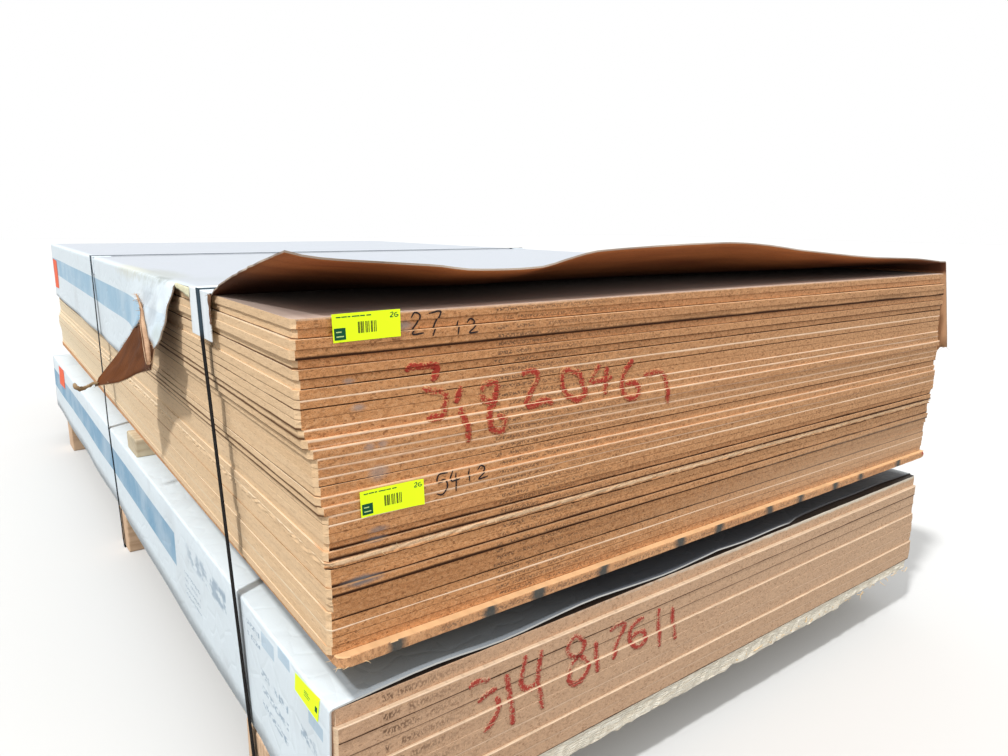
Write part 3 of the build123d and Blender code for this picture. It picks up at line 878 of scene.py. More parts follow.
# Upper lift: thirty-six 3/8 inch sheets of veneered particleboard. They have slipped a
# little over each other, so that their veneered faces show as bright ledges.
THIN_TONES = ((0.64, 0.262, 0.088), (0.725, 0.315, 0.110))
THIN_SIDE_TONES = ((0.83, 0.57, 0.33), (0.88, 0.63, 0.385))
THIN_FAR = (0.585, 0.358, 0.20)
THIN_SIDE_FAR = (0.92, 0.79, 0.57)
OAK_PALE = (0.86, 0.56, 0.32)
OAK_DARK = (0.76, 0.46, 0.25)
LEDGE_PAINTED_SHADE = (0.50, 0.28, 0.14)
TOP_PALE = (0.64, 0.49, 0.40)
TOP_DARK = (0.52, 0.38, 0.31)
SHADED = (0.140, 0.120, 0.108)
SMUDGE = (0.34, 0.30, 0.29)
SMUDGE_DARK = (0.17, 0.165, 0.175)
DULLED = (0.63, 0.43, 0.28)
SPLINTERED_PALE = (0.80, 0.57, 0.36)
FRONT_Y = -1.2165
# Smudges on the front: place along X and Z, reach along X and Z, colour and strength
SMUDGES = [(-0.508, 0.611, 0.007, 0.003, SMUDGE, 0.55), (-0.499, 0.584, 0.009, 0.004, SMUDGE, 0.6),
           (-0.492, 0.544, 0.006, 0.005, SMUDGE, 0.5), (-0.477, 0.545, 0.006, 0.004, SMUDGE, 0.5),
           (-0.483, 0.516, 0.013, 0.008, SMUDGE, 0.5), (-0.488, 0.458, 0.012, 0.004, SMUDGE_DARK, 0.6),
           (-0.489, 0.447, 0.013, 0.003, SMUDGE_DARK, 0.65), (-0.506, 0.408, 0.022, 0.005, SMUDGE_DARK, 0.8),
           (-0.448, 0.660, 0.014, 0.005, SMUDGE, 0.7), (0.55, 0.368, 0.55, 0.045, DULLED, 0.4),
           (0.05, 0.4333, 3.0, 0.0030, SPLINTERED_PALE, 0.85)]
SMUDGE_DEEP, BAND_DEEP = 0.06, 0.2
THIN_GAPES = {0: -0.4, 1: 0.06, 2: 0.3, 3: 0.1, 4: 1.0, 5: 0.25, 6: 0.3, 7: 0.5, 8: -0.7, 9: 0.5, 10: 0.1,
              11: -0.9, 12: -0.7, 13: -0.8, 14: -0.6, 15: -0.5, 16: -0.6, 17: 0.4, 18: -0.6, 19: -0.5,
              20: -0.6, 21: -1.0, 22: 0.12, 23: 0.15, 24: 0.85, 25: 1.0, 26: 0.55, 27: 0.1, 28: 0.85,
              29: 1.0, 32: 0.55, 33: -1.0, 34: 0.2, 35: 0.15, 36: 0.1}
SIDE_GAPES = {1: 0.15, 2: 0.35, 4: 0.1, 5: 1.0, 8: 0.25, 9: 0.45, 10: 0.2, 11: 0.9, 12: 0.9, 13: 0.3,
              18: 0.3, 19: 0.7, 20: 0.7, 21: 0.2, 25: -0.5, 30: -0.3, 31: 0.15, 33: -0.5}
THIN_PRINT = (-0.336, 0.10)
SPLINTERED = 26
CLEAN_WEAR = {"Skin": VENEER, "Rim": 0.00015, "Wear": 0.0004, "Fray": 0.0015}
TORN_WEAR = {"Skin": VENEER * 3, "Rim": 0.0015, "Wear": 0.0025, "Fray": 0.004}
SHADED_LEDGES = (29,)

thin_nodes = sorted(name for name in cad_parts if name.startswith("upper_panel_"))
upper_low, upper_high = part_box(thin_nodes[-1])
thin = upper_high.z - upper_low.z
oak_veneer = veneer_face("oak_veneer", OAK_PALE, OAK_DARK, SIDE_PALE)
top_veneer, tree, shader = new_material("top_sheet_veneer", 0.7)
streaks = streaky(tree, (90, 3, 30), 4.0)
colour = mix(tree, remap(tree, streaks, 0.35, 0.65), TOP_PALE, TOP_DARK)
# Painted shade: the top sheet darkens behind its front edge under the raised cap, less near its left end.
x, y, _ = place_on(tree)
under_cap = remap(tree, y, -1.208, -1.178, 0.0, 0.88)
deep = times(tree, under_cap, remap(tree, x, -0.565, -0.50, 0.3, 1.0))
coat(tree, shader, mix(tree, deep, colour, SHADED), streaks, 0.0003)
thin_end_look = {"tones": THIN_TONES, "mottle": 0.54, "joints": 0.12, "gapes": "gape",
                 "chips": (360, 360, 560), "far": THIN_FAR, "towards": "X"}
thin_side_look = {"tones": THIN_SIDE_TONES, "mottle": 0.15, "joints": 0.08, "gapes": "side_gape",
                  "chips": (430, 110, 700), "far": THIN_SIDE_FAR, "towards": "Y",
                  "ledge": SIDE_PALE, "joint": SIDE_DARK}
# Painted shade: a darker veneer for the ledges that lie in shade.
shaded_ledge_veneer = veneer_face("shaded_ledge_veneer", LEDGE_PAINTED_SHADE, tuple(c * 0.8 for c in LEDGE_PAINTED_SHADE))
smudges = [((x, FRONT_Y, z), (wide, SMUDGE_DEEP if wide < 0.1 else BAND_DEEP, tall), colour, strength)
           for x, z, wide, tall, colour, strength in SMUDGES]
thin_ends = chip_edge("thin_sheet_ends", thin_end_look, upper_low.z, thin, smudges, THIN_PRINT)
thin_sides = chip_edge("thin_sheet_sides", thin_side_look, upper_low.z, thin)
for number, cad_node in enumerate(thin_nodes, start=1):
    torn = number == SPLINTERED
    faces = top_veneer if number == 1 else shaded_ledge_veneer if number in SHADED_LEDGES else oak_veneer
    wear = TORN_WEAR if torn else CLEAN_WEAR
    laid_board(f"upper_sheet_{number:02d}", cad_node, "thin_sheet", joint_looks(THIN_GAPES, number),
               joint_looks(SIDE_GAPES, number), **wear, Corner=0.0012, Seed=20.0 + number, Faces=faces,
               Ends=thin_ends, Sides=thin_sides)
rise = Vector((0, -0.0002, thin - 0.0025))
splintered_line = [corner + rise for corner in plan_of(thin_nodes[SPLINTERED - 1])[:2]]
torn_fibres("splintered_line_fibres", [splintered_line], splinters, "thin_sheet",
            Spacing=0.005, Length=0.0055, Width=0.0009, Seed=8.0)

# Upper cap: the same white-faced cardboard. Its front has bent up in a wave, and its left
# flap is torn off there; a torn piece leans out behind the front strap.
EDGE_BOW = 0.75
MIDDLE_BOW = 1.9
BOW_REACH = 0.40
ORIGIN = 0.002
TORN_FROM = 0.447
TORN_TO = 0.709
# Rise of the bent-up front edge: place from the cap's left side, and height
RISE_PROFILE = [(0.00, 0.061), (0.03, 0.054), (0.11, 0.047), (0.16, 0.043), (0.20, 0.038), (0.29, 0.038),
                (0.33, 0.046), (0.375, 0.054), (0.60, 0.061), (0.69, 0.057), (0.78, 0.048), (0.97, 0.034),
                (1.12, 0.028), (1.225, 0.020)]
# Front edge of the torn piece, drop and place along, and its lower edge, the other way round
TORN_FRONT = [(0.0, 0.449), (0.006, 0.456), (0.018, 0.456), (0.029, 0.461), (0.046, 0.463), (0.070, 0.472),
              (0.095, 0.487), (0.101, 0.494)]
TEAR_LINE = [(0.494, 0.101), (0.507, 0.101), (0.541, 0.094), (0.581, 0.083), (0.607, 0.072), (0.636, 0.053),
             (0.677, 0.047), (0.709, 0.040)]
TEAR_DROP = 0.040
# Front edge of the flap behind the tear: drop, and place along
FLAP_TEAR = [(0.040, 0.709), (0.054, 0.671), (0.074, 0.640), (0.088, 0.667), (0.104, 0.745), (0.120, 0.814),
             (0.148, 0.919), (0.171, 0.990), (0.190, 1.000)]
TORN_LEAN = math.radians(15)
LEAN_FROM = 0.62
LEAN_FADE = 0.16
UPPER_BANDS = [(0.625, 3.0, 0.050, 0.102, 1.0), (0.47, 0.62, 0.050, 0.098, 0.28)]
UPPER_BLUE = (0.315, 0.52, 0.68)
# Blots beside the tear: out from the cap, along and down, reach, colour and strength
TEAR_BLOTS = [
    (0.022, 0.66, 0.0, (0.034, 0.15, 0.02), (0.40, 0.43, 0.37), 0.55),
    (0.008, 0.84, 0.0, (0.016, 0.15, 0.02), (0.60, 0.58, 0.40), 0.5),
    (0.006, 0.55, 0.0, (0.012, 0.05, 0.01), (0.20, 0.22, 0.18), 0.5),
    (0.060, 0.50, 0.0, (0.050, 0.05, 0.02), (0.44, 0.48, 0.50), 0.4),
    (-0.006, 0.62, 0.030, (0.04, 0.05, 0.018), (0.34, 0.39, 0.44), 0.5),
    (-0.012, 0.56, 0.050, (0.04, 0.03, 0.030), (0.42, 0.47, 0.52), 0.45),
    (-0.010, 0.50, 0.075, (0.04, 0.03, 0.016), (0.55, 0.62, 0.56), 0.5),
]
UPPER_STRAPS = (0.305, 1.315)
UPPER_PINCH = 0.09
RIGHT_FLARE = 0.030
RIGHT_END_DROP = 0.163
CORNER_BACK = 0.007
UNDER_PALE = (0.69, 0.235, 0.072)
UNDER_DARK = (0.43, 0.125, 0.040)
CAP_RIM = ((0.60, 0.50, 0.40), (0.10, 0.045, 0.025))

covered = thin_nodes[:math.ceil(FLAP_DEPTH / thin)]
sheets_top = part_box(thin_nodes[0])[1].z
cap_left = min(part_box(name)[0].x for name in covered) - overhang
cap_right = max(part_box(name)[1].x for name in covered) + overhang
cap_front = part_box(thin_nodes[0])[0].y
cap_back = max(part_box(name)[1].y for name in covered) + CAP_GAP
lift_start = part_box("front_edge_angles")[0].y - CAP_GAP
lift_origin = cap_front + ORIGIN


def smooth_through(points, place):
    """The height at a place of the smooth curve through these points."""
    places = [p for p, _ in points]
    last = len(points) - 1
    i = min(max(bisect.bisect_right(places, place) - 1, 0), last - 1)

    def slope(j):
        (a, low), (b, high) = points[max(j - 1, 0)], points[min(j + 1, last)]
        return (high - low) / (b - a)

    (a, low), (b, high) = points[i], points[i + 1]
    t = min(max((place - a) / (b - a), 0.0), 1.0)
    bend_in = slope(i) * (b - a) * (t ** 3 - 2 * t ** 2 + t)
    bend_out = slope(i + 1) * (b - a) * (t ** 3 - t ** 2)
    return low * (2 * t ** 3 - 3 * t ** 2 + 1) + high * (3 * t ** 2 - 2 * t ** 3) + bend_in + bend_out


def cap_height(x, y):
    """Height of the upper cap's outer face at a place."""
    height = sheets_top + CAP_THICK
    if y >= lift_start:
        return height
    forward = (lift_start - y) / (lift_start - cap_front)
    inside = min(1.0, (x - cap_left) / BOW_REACH)
    bow = EDGE_BOW + (MIDDLE_BOW - EDGE_BOW) * inside * inside * (3 - 2 * inside)
    return height + smooth_through(RISE_PROFILE, x - cap_left) * forward ** bow


def along_line(points, share):
    """The point at a share of the length of a line through these points."""
    points = [Vector(point) for point in points]
    lengths = [(b - a).length for a, b in zip(points, points[1:])]
    left = share * sum(lengths)
    for a, b, length in zip(points, points[1:], lengths):
        if left <= length:
            return a.lerp(b, left / length)
        left -= length
    return points[-1]


def corner_back(x, y, share=0.0):
    """How far the cap's front right corner is drawn back, less so down its flap."""
    near = max(0.0, 1 - (cap_right - x) / 0.15) * math.exp(-((y - cap_front) / 0.05) ** 2)
    return CORNER_BACK * near * (1 - share)


tear_blots = [((cap_left + out, lift_origin + along, sheets_top - drop), reach, colour, share)
         for out, along, drop, reach, colour, share in TEAR_BLOTS]
upper_white = white_paper("upper_cap_paper", UPPER_BANDS, UPPER_BLUE, [], False, tear_blots)
# Painted shade and light: the underside darkens further in under the raised cap, and sooner to the right; the
# right flap's inside is painted lit below the sheets' top.
under_kraft = kraft_paper("brown_underside", UNDER_PALE, UNDER_DARK,
                          (cap_front + 0.02, lift_start - 0.08, 0.93),
                          (sheets_top + 0.004, sheets_top - 0.004))
cap_rim = kraft_paper("cap_rim", *CAP_RIM)
torn_first_y, torn_last_y = lift_origin + TORN_FROM, lift_origin + TORN_TO
stations = (spread(cap_front, lift_start, 0.012)[:-1] + spread(lift_start, torn_first_y, 0.02)[:-1]
            + spread(torn_first_y, torn_last_y, 0.012)[:-1] + spread(torn_last_y, cap_back, CAP_STEP))
torn_first, torn_last = stations.index(torn_first_y), stations.index(torn_last_y)
from_fold = spread(fold_arc / 2, (cap_right - cap_left) - 2 * FOLD_ROUND + fold_arc / 2, 0.016)
right_flap = [-path for path in half_across[::-1] if path <= fold_arc / 2]
rows = []
for y in stations:
    row = []
    ragged = 0.0015 * waver(y * 60, 3, 0)
    for path in from_fold:
        inward, _ = over_fold(path, FOLD_ROUND)
        x = cap_left + inward + (ragged if path == from_fold[0] and y < torn_first_y else 0.0)
        front_rag = 0.002 * waver(x * 45, 0, 7) if y == cap_front else 0.0
        back = front_rag + corner_back(x, y)
        row.append((Vector((x, y + back, cap_height(x, y))), (y - cap_front, -inward)))
    for path in right_flap[1:]:
        inward, drop = over_fold(-path, FOLD_ROUND)
        share = drop / FLAP_DEPTH
        if y < cap_front + 0.02:
            drop *= 0.90
        loose = looseness(y - cap_front, UPPER_STRAPS, UPPER_PINCH)
        bulge = FLAP_BULGE * share * loose * (0.4 + waver(y * 3.1, drop * 6, 5))
        bulge += RIGHT_FLARE * share * math.exp(-((y - cap_front) / 0.12) ** 2)
        x = cap_right - inward + bulge
        back = corner_back(cap_right, y, share)
        row.append((Vector((x, y + back, cap_height(x, y) - drop)), (y - cap_front, drop)))
    rows.append(row)
shape = bmesh.new()
add_grid(shape, rows)


def leaning(along, drop):
    """A point of the left flap: its place from the lift's corner, and its way down from the fold.

    The flap leans out where it is torn and bulges softly further on."""
    torn = math.exp(-(max(0.0, along - LEAN_FROM) / LEAN_FADE) ** 2)
    inward, down = over_fold(fold_arc / 2 - drop, FOLD_ROUND)
    past = max(0.0, drop - fold_arc)
    down = min(down, FOLD_ROUND) + past * math.cos(TORN_LEAN * torn)
    crumple = 0.003 * waver(along * 30, drop * 40, 4) * min(1.0, drop / 0.03)
    loose = looseness(along, UPPER_STRAPS, UPPER_PINCH)
    bulge = FLAP_BULGE * drop / FLAP_DEPTH * loose * (0.4 + waver(along * 3.1, drop * 6, 1))
    out = past * math.sin(TORN_LEAN * torn) + crumple * torn + bulge * (1 - torn)
    return Vector((cap_left + inward - out, lift_origin + along, sheets_top + CAP_THICK - down))


# The left flap behind the tear
last_drop = fold_arc / 2 - flap_end
drops = spread(0, TEAR_DROP, TEAR_DROP / 14)[:-1] + spread(TEAR_DROP, last_drop, 0.01)
rows = []
for number in range(torn_last, len(stations)):
    share_back = (stations[number] - torn_last_y) / (cap_back - torn_last_y)
    row = []
    for drop in drops:
        start = TORN_TO if drop <= TEAR_DROP else smooth_through(FLAP_TEAR, drop)
        if drop > TEAR_DROP and share_back == 0:
            start += 0.003 * waver(drop * 240, 2, 0)
        along = start + share_back * (cap_back - lift_origin - start)
        row.append((leaning(along, drop), (along + ORIGIN, drop)))
    rows.append(row[::-1])
add_grid(shape, rows)

# The torn piece beside it
rows = []
for number in range(torn_first, torn_last + 1):
    along = stations[number] - lift_origin
    share = (along - TORN_FROM) / (TORN_TO - TORN_FROM)
    low_along, low_drop = along_line(TEAR_LINE, share)
    row = []
    for down in spread(0, 1, 1 / 14):
        drop = low_drop * down
        edge = smooth_through(TORN_FRONT, drop) - (TORN_FROM + (TEAR_LINE[0][0] - TORN_FROM) * down)
        a = along + (low_along - along) * down + edge * (1 - share) ** 2
        if share == 0:
            a += 0.002 * waver(drop * 260, 1, 0)
        row.append((leaning(a, drop), (a + ORIGIN, drop)))
    rows.append(row[::-1])
add_grid(shape, rows)
bmesh.ops.remove_doubles(shape, verts=shape.verts, dist=WELD * 5)
upper_cap = stand_in("upper_cap_cardboard", shape, [upper_white, under_kraft, cap_rim],
                     "cap_board", "upper_cap")
thickened(upper_cap, CAP_THICK)

# Turned corner of the torn piece: bare brown inside out, it runs out to a curled tip.
# A torn strip of the white face has rolled up along its root.
ROLL_TURN = math.radians(300)
EAR_FOLDS = 0.007
EAR_BROWN = ((0.150, 0.047, 0.0105), (0.075, 0.022, 0.0048))
ROLL_BROWN = ((0.70, 0.46, 0.29), (0.34, 0.18, 0.10))
CURL_BROWN = ((0.42, 0.29, 0.16), (0.10, 0.052, 0.022))
# Lines of the torn corner: out from the cap's side, along it, and down from its top
EAR_UPPER = [(0.006, 0.700, 0.048), (0.013, 0.668, 0.073), (0.015, 0.690, 0.086), (0.023, 0.699, 0.101),
             (0.028, 0.724, 0.117), (0.032, 0.742, 0.129), (0.038, 0.744, 0.138), (0.050, 0.747, 0.153),
             (0.062, 0.750, 0.168), (0.074, 0.738, 0.178), (0.079, 0.733, 0.184)]
EAR_LOWER = [(0.030, 0.495, 0.127), (0.031, 0.554, 0.139), (0.035, 0.595, 0.149), (0.043, 0.634, 0.163),
             (0.053, 0.661, 0.173), (0.063, 0.688, 0.179), (0.071, 0.711, 0.184), (0.079, 0.738, 0.190)]
EAR_ROOT = [(0.006, 0.684, 0.042), (0.010, 0.640, 0.048), (0.014, 0.605, 0.064), (0.018, 0.575, 0.077),
            (0.021, 0.535, 0.089), (0.023, 0.505, 0.096), (0.0235, 0.496, 0.098)]
CURL = [(0.076, 0.728, 0.184), (0.083, 0.732, 0.183), (0.089, 0.742, 0.189), (0.098, 0.735, 0.191),
        (0.105, 0.730, 0.190), (0.109, 0.733, 0.187), (0.110, 0.738, 0.182)]
ROLL_LINE = [(0.0115, 0.686, 0.034), (0.0147, 0.647, 0.043), (0.0177, 0.611, 0.053), (0.0215, 0.591, 0.068),
             (0.0249, 0.563, 0.081), (0.0280, 0.534, 0.093), (0.0317, 0.506, 0.107), (0.0338, 0.491, 0.115)]
# How wide the roll and the curl are at each share of their length
ROLL_WIDE = [(0.0, 0.0010), (0.3, 0.0020), (0.5, 0.0042), (0.9, 0.0052), (1.0, 0.0040)]
CURL_WIDE = [(0.0, 0.0016), (0.2, 0.0020), (0.4, 0.0018), (0.6, 0.0026), (0.8, 0.0034), (1.0, 0.0016)]


def hung(out, along, drop):
    """A point that stands out from the cap's left face, from the lift's corner and the cap's top."""
    return Vector((cap_left - out, lift_origin + along, sheets_top + CAP_THICK - drop))


def separate_piece(name, rows, materials, thickness):
    """A thin piece of board that stands for no CAD node of its own."""
    shape = bmesh.new()
    add_grid(shape, rows)
    bmesh.ops.remove_doubles(shape, verts=shape.verts, dist=WELD)
    piece = stand_in(name, shape, materials, "cap_board")
    thickened(piece, thickness)
    return piece


# Painted shade: the turned corner darkens towards its root.
ear_kraft = kraft_paper("brown_corner", *EAR_BROWN, (lift_origin + 0.57, lift_origin + 0.48, 0.6))
rows = [[(hung(*along_line(EAR_ROOT, share)), (0.0, share * 0.1)) for share in spread(0, 1, 1 / 12)]]
for out in spread(0, 1, 1 / 22):
    upper, lower = along_line(EAR_UPPER, out), along_line(EAR_LOWER, out)
    row = []
    for share in spread(0, 1, 1 / 12):
        place = hung(*upper.lerp(lower, share))
        folds = waver(out * 4, share * 3, 9) + 0.5 * waver(out * 11, share * 8, 2)
        place.x += EAR_FOLDS * folds * math.sin(math.pi * share) * math.sin(math.pi * min(1.0, out + 0.1))
        place.z -= 0.004 * math.sin(math.pi * share) * (1 - out)
        row.append((place, (0.02 + out * 0.2, share * 0.1)))
    rows.append(row)
separate_piece("upper_cap_turned_corner", rows, [ear_kraft, ear_kraft, torn_edge], 0.0016)

roll_paper = kraft_paper("rolled_strip", *ROLL_BROWN)
curl_paper = kraft_paper("curled_tip", *CURL_BROWN)
rows = []
for share in spread(0, 1, 1 / 30):
    behind, centre, ahead = [hung(*along_line(ROLL_LINE, place)) for place in
                             (max(0.0, share - 0.03), share, min(1.0, share + 0.03))]
    forward = (ahead - behind).normalized()
    outward = Vector((-math.cos(TORN_LEAN), 0, -math.sin(TORN_LEAN)))
    across = forward.cross(outward).normalized()
    wide = smooth_through(ROLL_WIDE, share)
    wobble = 0.0015 * waver(share * 9, 0, 5)
    row = []
    for turn in spread(0, ROLL_TURN, ROLL_TURN / 12):
        reach = wide * (1 + 0.15 * waver(share * 7, turn, 3)) * (1 - 0.12 * turn / ROLL_TURN)
        place = centre + outward * (reach * math.cos(turn)) + across * (reach * math.sin(turn) + wobble)
        row.append((place, (share * 0.2, turn * 0.01)))
    rows.append(row)
separate_piece("upper_cap_rolled_strip", rows, [roll_paper, roll_paper, torn_edge], 0.0006)

rows = []
for share in spread(0, 1, 1 / 15):
    behind, centre, ahead = [hung(*along_line(CURL, place)) for place in
                             (max(0.0, share - 0.05), share, min(1.0, share + 0.05))]
    forward = (ahead - behind).normalized()
    side = forward.cross(Vector((1, 0, 0))).normalized()
    up = side.cross(forward)
    wide = smooth_through(CURL_WIDE, share)
    row = []
    for turn in spread(0, math.tau * 0.92, math.tau / 13):
        lump = wide * (1 + 0.5 * waver(share * 7, turn, 6))
        place = centre + (side * math.cos(turn) + up * math.sin(turn)) * lump
        row.append((place, (share * 0.05, turn * 0.01)))
    rows.append(row)
separate_piece("upper_cap_curled_tip", rows, [curl_paper, curl_paper, torn_edge], 0.0006)

# Torn stub of the flap's face between the torn piece and the front strap's angle, and a
# ragged brown remnant of its board on the other side of that angle. Both are thin paper
# layers, left on the fold where the flap tore off.
STUB = (0.358, 0.447)
STUB_YELLOW = ((0.84, 0.82, 0.58), (0.66, 0.62, 0.42))
REMNANT = (0.252, 0.262)
REMNANT_DROP = 0.036
REMNANT_BROWN = ((0.36, 0.20, 0.11), (0.12, 0.055, 0.027))

stub_paper = kraft_paper("torn_stub", *STUB_YELLOW)
rows = []
for along in spread(*STUB, 0.004):
    share = (STUB[1] - along) / (STUB[1] - STUB[0])
    low = 0.005 + 0.010 * share + 0.003 * waver(along * 55, 0, 2)
    row = []
    for down in spread(0, 1, 0.2):
        place = leaning(along, low * down)
        place.x = cap_left + (place.x - cap_left) * (1 - 0.8 * share) - 0.0010
        row.append((place + Vector((0, 0, 0.0006)), (along, low * down)))
    rows.append(row[::-1])
separate_piece("upper_cap_torn_stub", rows, [stub_paper, stub_paper, stub_paper], 0.0005)

remnant_paper = kraft_paper("torn_remnant", *REMNANT_BROWN)
rows = []
for drop in spread(0.0, REMNANT_DROP, 0.003):
    ragged = [0.003 * waver(drop * 240, side, 8) for side in (0, 1)]
    narrow = 1 - 0.8 * drop / REMNANT_DROP
    near = REMNANT[1] - (REMNANT[1] - REMNANT[0]) * narrow + ragged[0]
    far = REMNANT[1] + 0.002 + ragged[1] * narrow
    rows.append([(hung(0.0006 + 0.0012 * waver(drop * 90, a * 90, 3), a, drop), (a, drop))
                 for a in spread(near, far, (far - near) / 3)])
separate_piece("upper_cap_torn_remnant", rows, [remnant_paper, remnant_paper, remnant_paper], 0.0006)

# Loose fibres of the torn board: wood pulp pulled apart where it tore. They stand along
# the tears, the turned corner and its curl, the rolled strip, the remnant and the frayed
# end of the right flap.
tear_places = [leaning(smooth_through(FLAP_TEAR, drop), drop) for drop in spread(TEAR_DROP, last_drop, 0.01)]
front_places = [leaning(a, d) for d, a in TORN_FRONT] + [leaning(a, d) for a, d in TEAR_LINE]
ear_edges = [[hung(*place) for place in line] for line in (EAR_UPPER, EAR_LOWER)]
torn_fibres("torn_edge_fibres", [tear_places, front_places, *ear_edges], torn_edge, "cap_board",
            Spacing=0.004, Length=0.006, Width=0.0007, Seed=1.0)
roll_places = [hung(*place) for place in ROLL_LINE]
torn_fibres("rolled_strip_fibres", [roll_places[:5], roll_places[:3]], roll_paper, "cap_board",
            Spacing=0.003, Length=0.010, Width=0.0012, Seed=2.0)
torn_fibres("curled_tip_fibres", [[hung(*place) for place in CURL]], curl_paper, "cap_board",
            Spacing=0.0025, Length=0.007, Width=0.0008, Seed=3.0)
remnant_places = [hung(0.001, sum(REMNANT) / 2, drop) for drop in spread(0.0, REMNANT_DROP + 0.01, 0.01)]
torn_fibres("remnant_fibres", [remnant_places], remnant_paper, "cap_board",
            Spacing=0.003, Length=0.006, Width=0.0009, Seed=4.0)
flap_low = cap_height(cap_right, cap_front) - RIGHT_END_DROP
flap_places = [Vector((cap_right + RIGHT_FLARE, cap_front + back, flap_low)) for back in (0.0, 0.012)]
torn_fibres("right_flap_fibres", [flap_places], curl_paper, "cap_board",
            Spacing=0.003, Length=0.014, Width=0.0010, Seed=5.0)

# Edge angles: short white moulded corners under each strap, which spread its pull over
# the edge of the load. Held by the strap alone.
ANGLE_WHITE = (0.88, 0.95, 0.99)
ANGLE_GREY = (0.66, 0.73, 0.79)

angle_plastic, tree, shader = new_material("angle_plastic", 0.42)
blur = streaky(tree, (30, 30, 8), 4.0)
coat(tree, shader, mix(tree, remap(tree, blur, 0.45, 0.75), ANGLE_WHITE, ANGLE_GREY), blur, 0.0006)
for place in ("front", "rear"):
    shape = solid_copy(f"{place}_edge_angles")
    soften(shape, 0.0009, 3)
    stand_in(f"{place}_corner_angles", shape, [angle_plastic], "edge_angle", f"{place}_edge_angles")

# Straps: two black polyester bands, pulled tight over the load and under a runner. Each
# has a fine slanting pattern pressed into it, and a painted bluish sheen where it lies over the top.
STRAP_BLACK = (0.004, 0.003, 0.003)
STRAP_BLUISH_GREY = (0.020, 0.023, 0.030)
STRAP_DUST = (0.05, 0.035, 0.022)
STRAP_PAINTED_SHEEN = (0.040, 0.066, 0.088)
PAINTED_SHEEN_FROM = (0.618, 0.630)

# The rear strap is bluish grey rather than black.
for place, black in (("front", STRAP_BLACK), ("rear", STRAP_BLUISH_GREY)):
    strap_band, tree, shader = new_material(f"{place}_strap_finish", 0.8)
    shader.inputs["Specular IOR Level"].default_value = 0.06
    inputs = {"Vector": object_space(tree), "Scale": 90.0, "Distortion": 0.3}
    press = add_node(tree, "ShaderNodeTexWave", inputs, wave_type="BANDS", bands_direction="DIAGONAL")
    dust = cloud(tree, object_space(tree), 40.0, 4.0)
    dust_and_sheen = mix(tree, remap(tree, dust, 0.5, 0.8, 0.0, 0.25), black, STRAP_DUST)
    _, _, z = place_on(tree)
    # Painted sheen: the strap turns bluish where it lies over the top.
    dust_and_sheen = mix(tree, remap(tree, z, *PAINTED_SHEEN_FROM), dust_and_sheen, STRAP_PAINTED_SHEEN)
    coat(tree, shader, dust_and_sheen, press.outputs["Fac"], 0.0004)
    strap = f"{place}_strap"
    stand_in(f"{strap}_band", solid_copy(strap), [strap_band], "strap", strap)

# Hand marks and labels, put on last: a crayon number on each lift, two marker numbers and
# the paper lot labels. Wax and ink lie on the sheets' edges, the labels are glued on.
MARK_LIFT = 0.0003
STROKE_LIFT = 0.00002
MARK_STEP = 0.002
CRAYON_WIDE = 0.0085
MARKER_WIDE = 0.0018
CRAYON_RED = (0.40, 0.030, 0.024)
MARKER_INK = (0.025, 0.016, 0.016)
LABEL_YELLOW = (0.78, 1.0, 0.015)
LABEL_PAINTED_GLOW = 0.22
LABEL_GREEN = (0.005, 0.085, 0.035)
LABEL_PALE = (0.62, 0.80, 0.30)
LABEL_ORANGE = (0.85, 0.13, 0.05)
# Strokes in millimetres: X, and the height over the ground
UPPER_CRAYON = [
    [(-447, 614), (-440, 618), (-413, 616), (-411, 611), (-417, 600)],
    [(-429, 594), (-418, 590), (-402, 585), (-403, 571), (-407, 563), (-425, 562)],
    [(-382, 591), (-386, 581), (-389, 573)], [(-384, 568), (-381, 557), (-377, 545), (-376, 529)],
    [(-356, 581), (-352, 589), (-337, 588), (-338, 577), (-342, 565), (-349, 561)],
    [(-358, 579), (-352, 571), (-340, 568)],
    [(-347, 563), (-348, 549), (-345, 539), (-331, 535), (-329, 548), (-338, 553)],
    [(-302, 593), (-296, 597), (-283, 595), (-281, 587), (-287, 577), (-294, 566), (-297, 557)],
    [(-297, 557), (-284, 558), (-270, 561), (-259, 556)],
    [(-244, 579), (-242, 592), (-220, 587), (-213, 575), (-209, 562), (-221, 555), (-232, 560),
     (-239, 565), (-244, 579)],
    [(-186, 594), (-193, 584), (-199, 574), (-184, 574), (-164, 576)],
    [(-174, 590), (-175, 575), (-178, 556)],
    [(-130, 594), (-142, 582), (-148, 566), (-144, 550), (-128, 546), (-120, 555), (-128, 565), (-143, 564)],
    [(-110, 572), (-84, 574), (-72, 566), (-68, 548), (-66, 530)],
]
LOWER_CRAYON = [
    [(-385, 242), (-374, 246), (-355, 241)], [(-372, 218), (-361, 223), (-345, 226)],
    [(-345, 215), (-343, 205), (-347, 194), (-355, 184), (-366, 178)],
    [(-331, 239), (-328, 221), (-325, 202), (-323, 169)],
    [(-303, 254), (-306, 238), (-309, 221), (-304, 209), (-291, 206), (-282, 210)],
    [(-279, 252), (-281, 232), (-283, 209), (-280, 191), (-277, 171)],
    [(-210, 240), (-224, 250), (-235, 240), (-230, 226), (-212, 216), (-200, 203), (-208, 188), (-224, 184),
     (-234, 196), (-226, 212), (-211, 224), (-207, 234), (-210, 240)],
    [(-187, 230), (-185, 209), (-184, 185)],
    [(-162, 236), (-149, 240), (-134, 236), (-146, 215), (-156, 193)],
    [(-97, 234), (-113, 231), (-123, 222), (-121, 205), (-108, 195), (-94, 200), (-96, 212), (-110, 214),
     (-120, 210)],
    [(-68, 238), (-66, 211), (-65, 179)], [(-39, 231), (-36, 204), (-32, 179)],
]
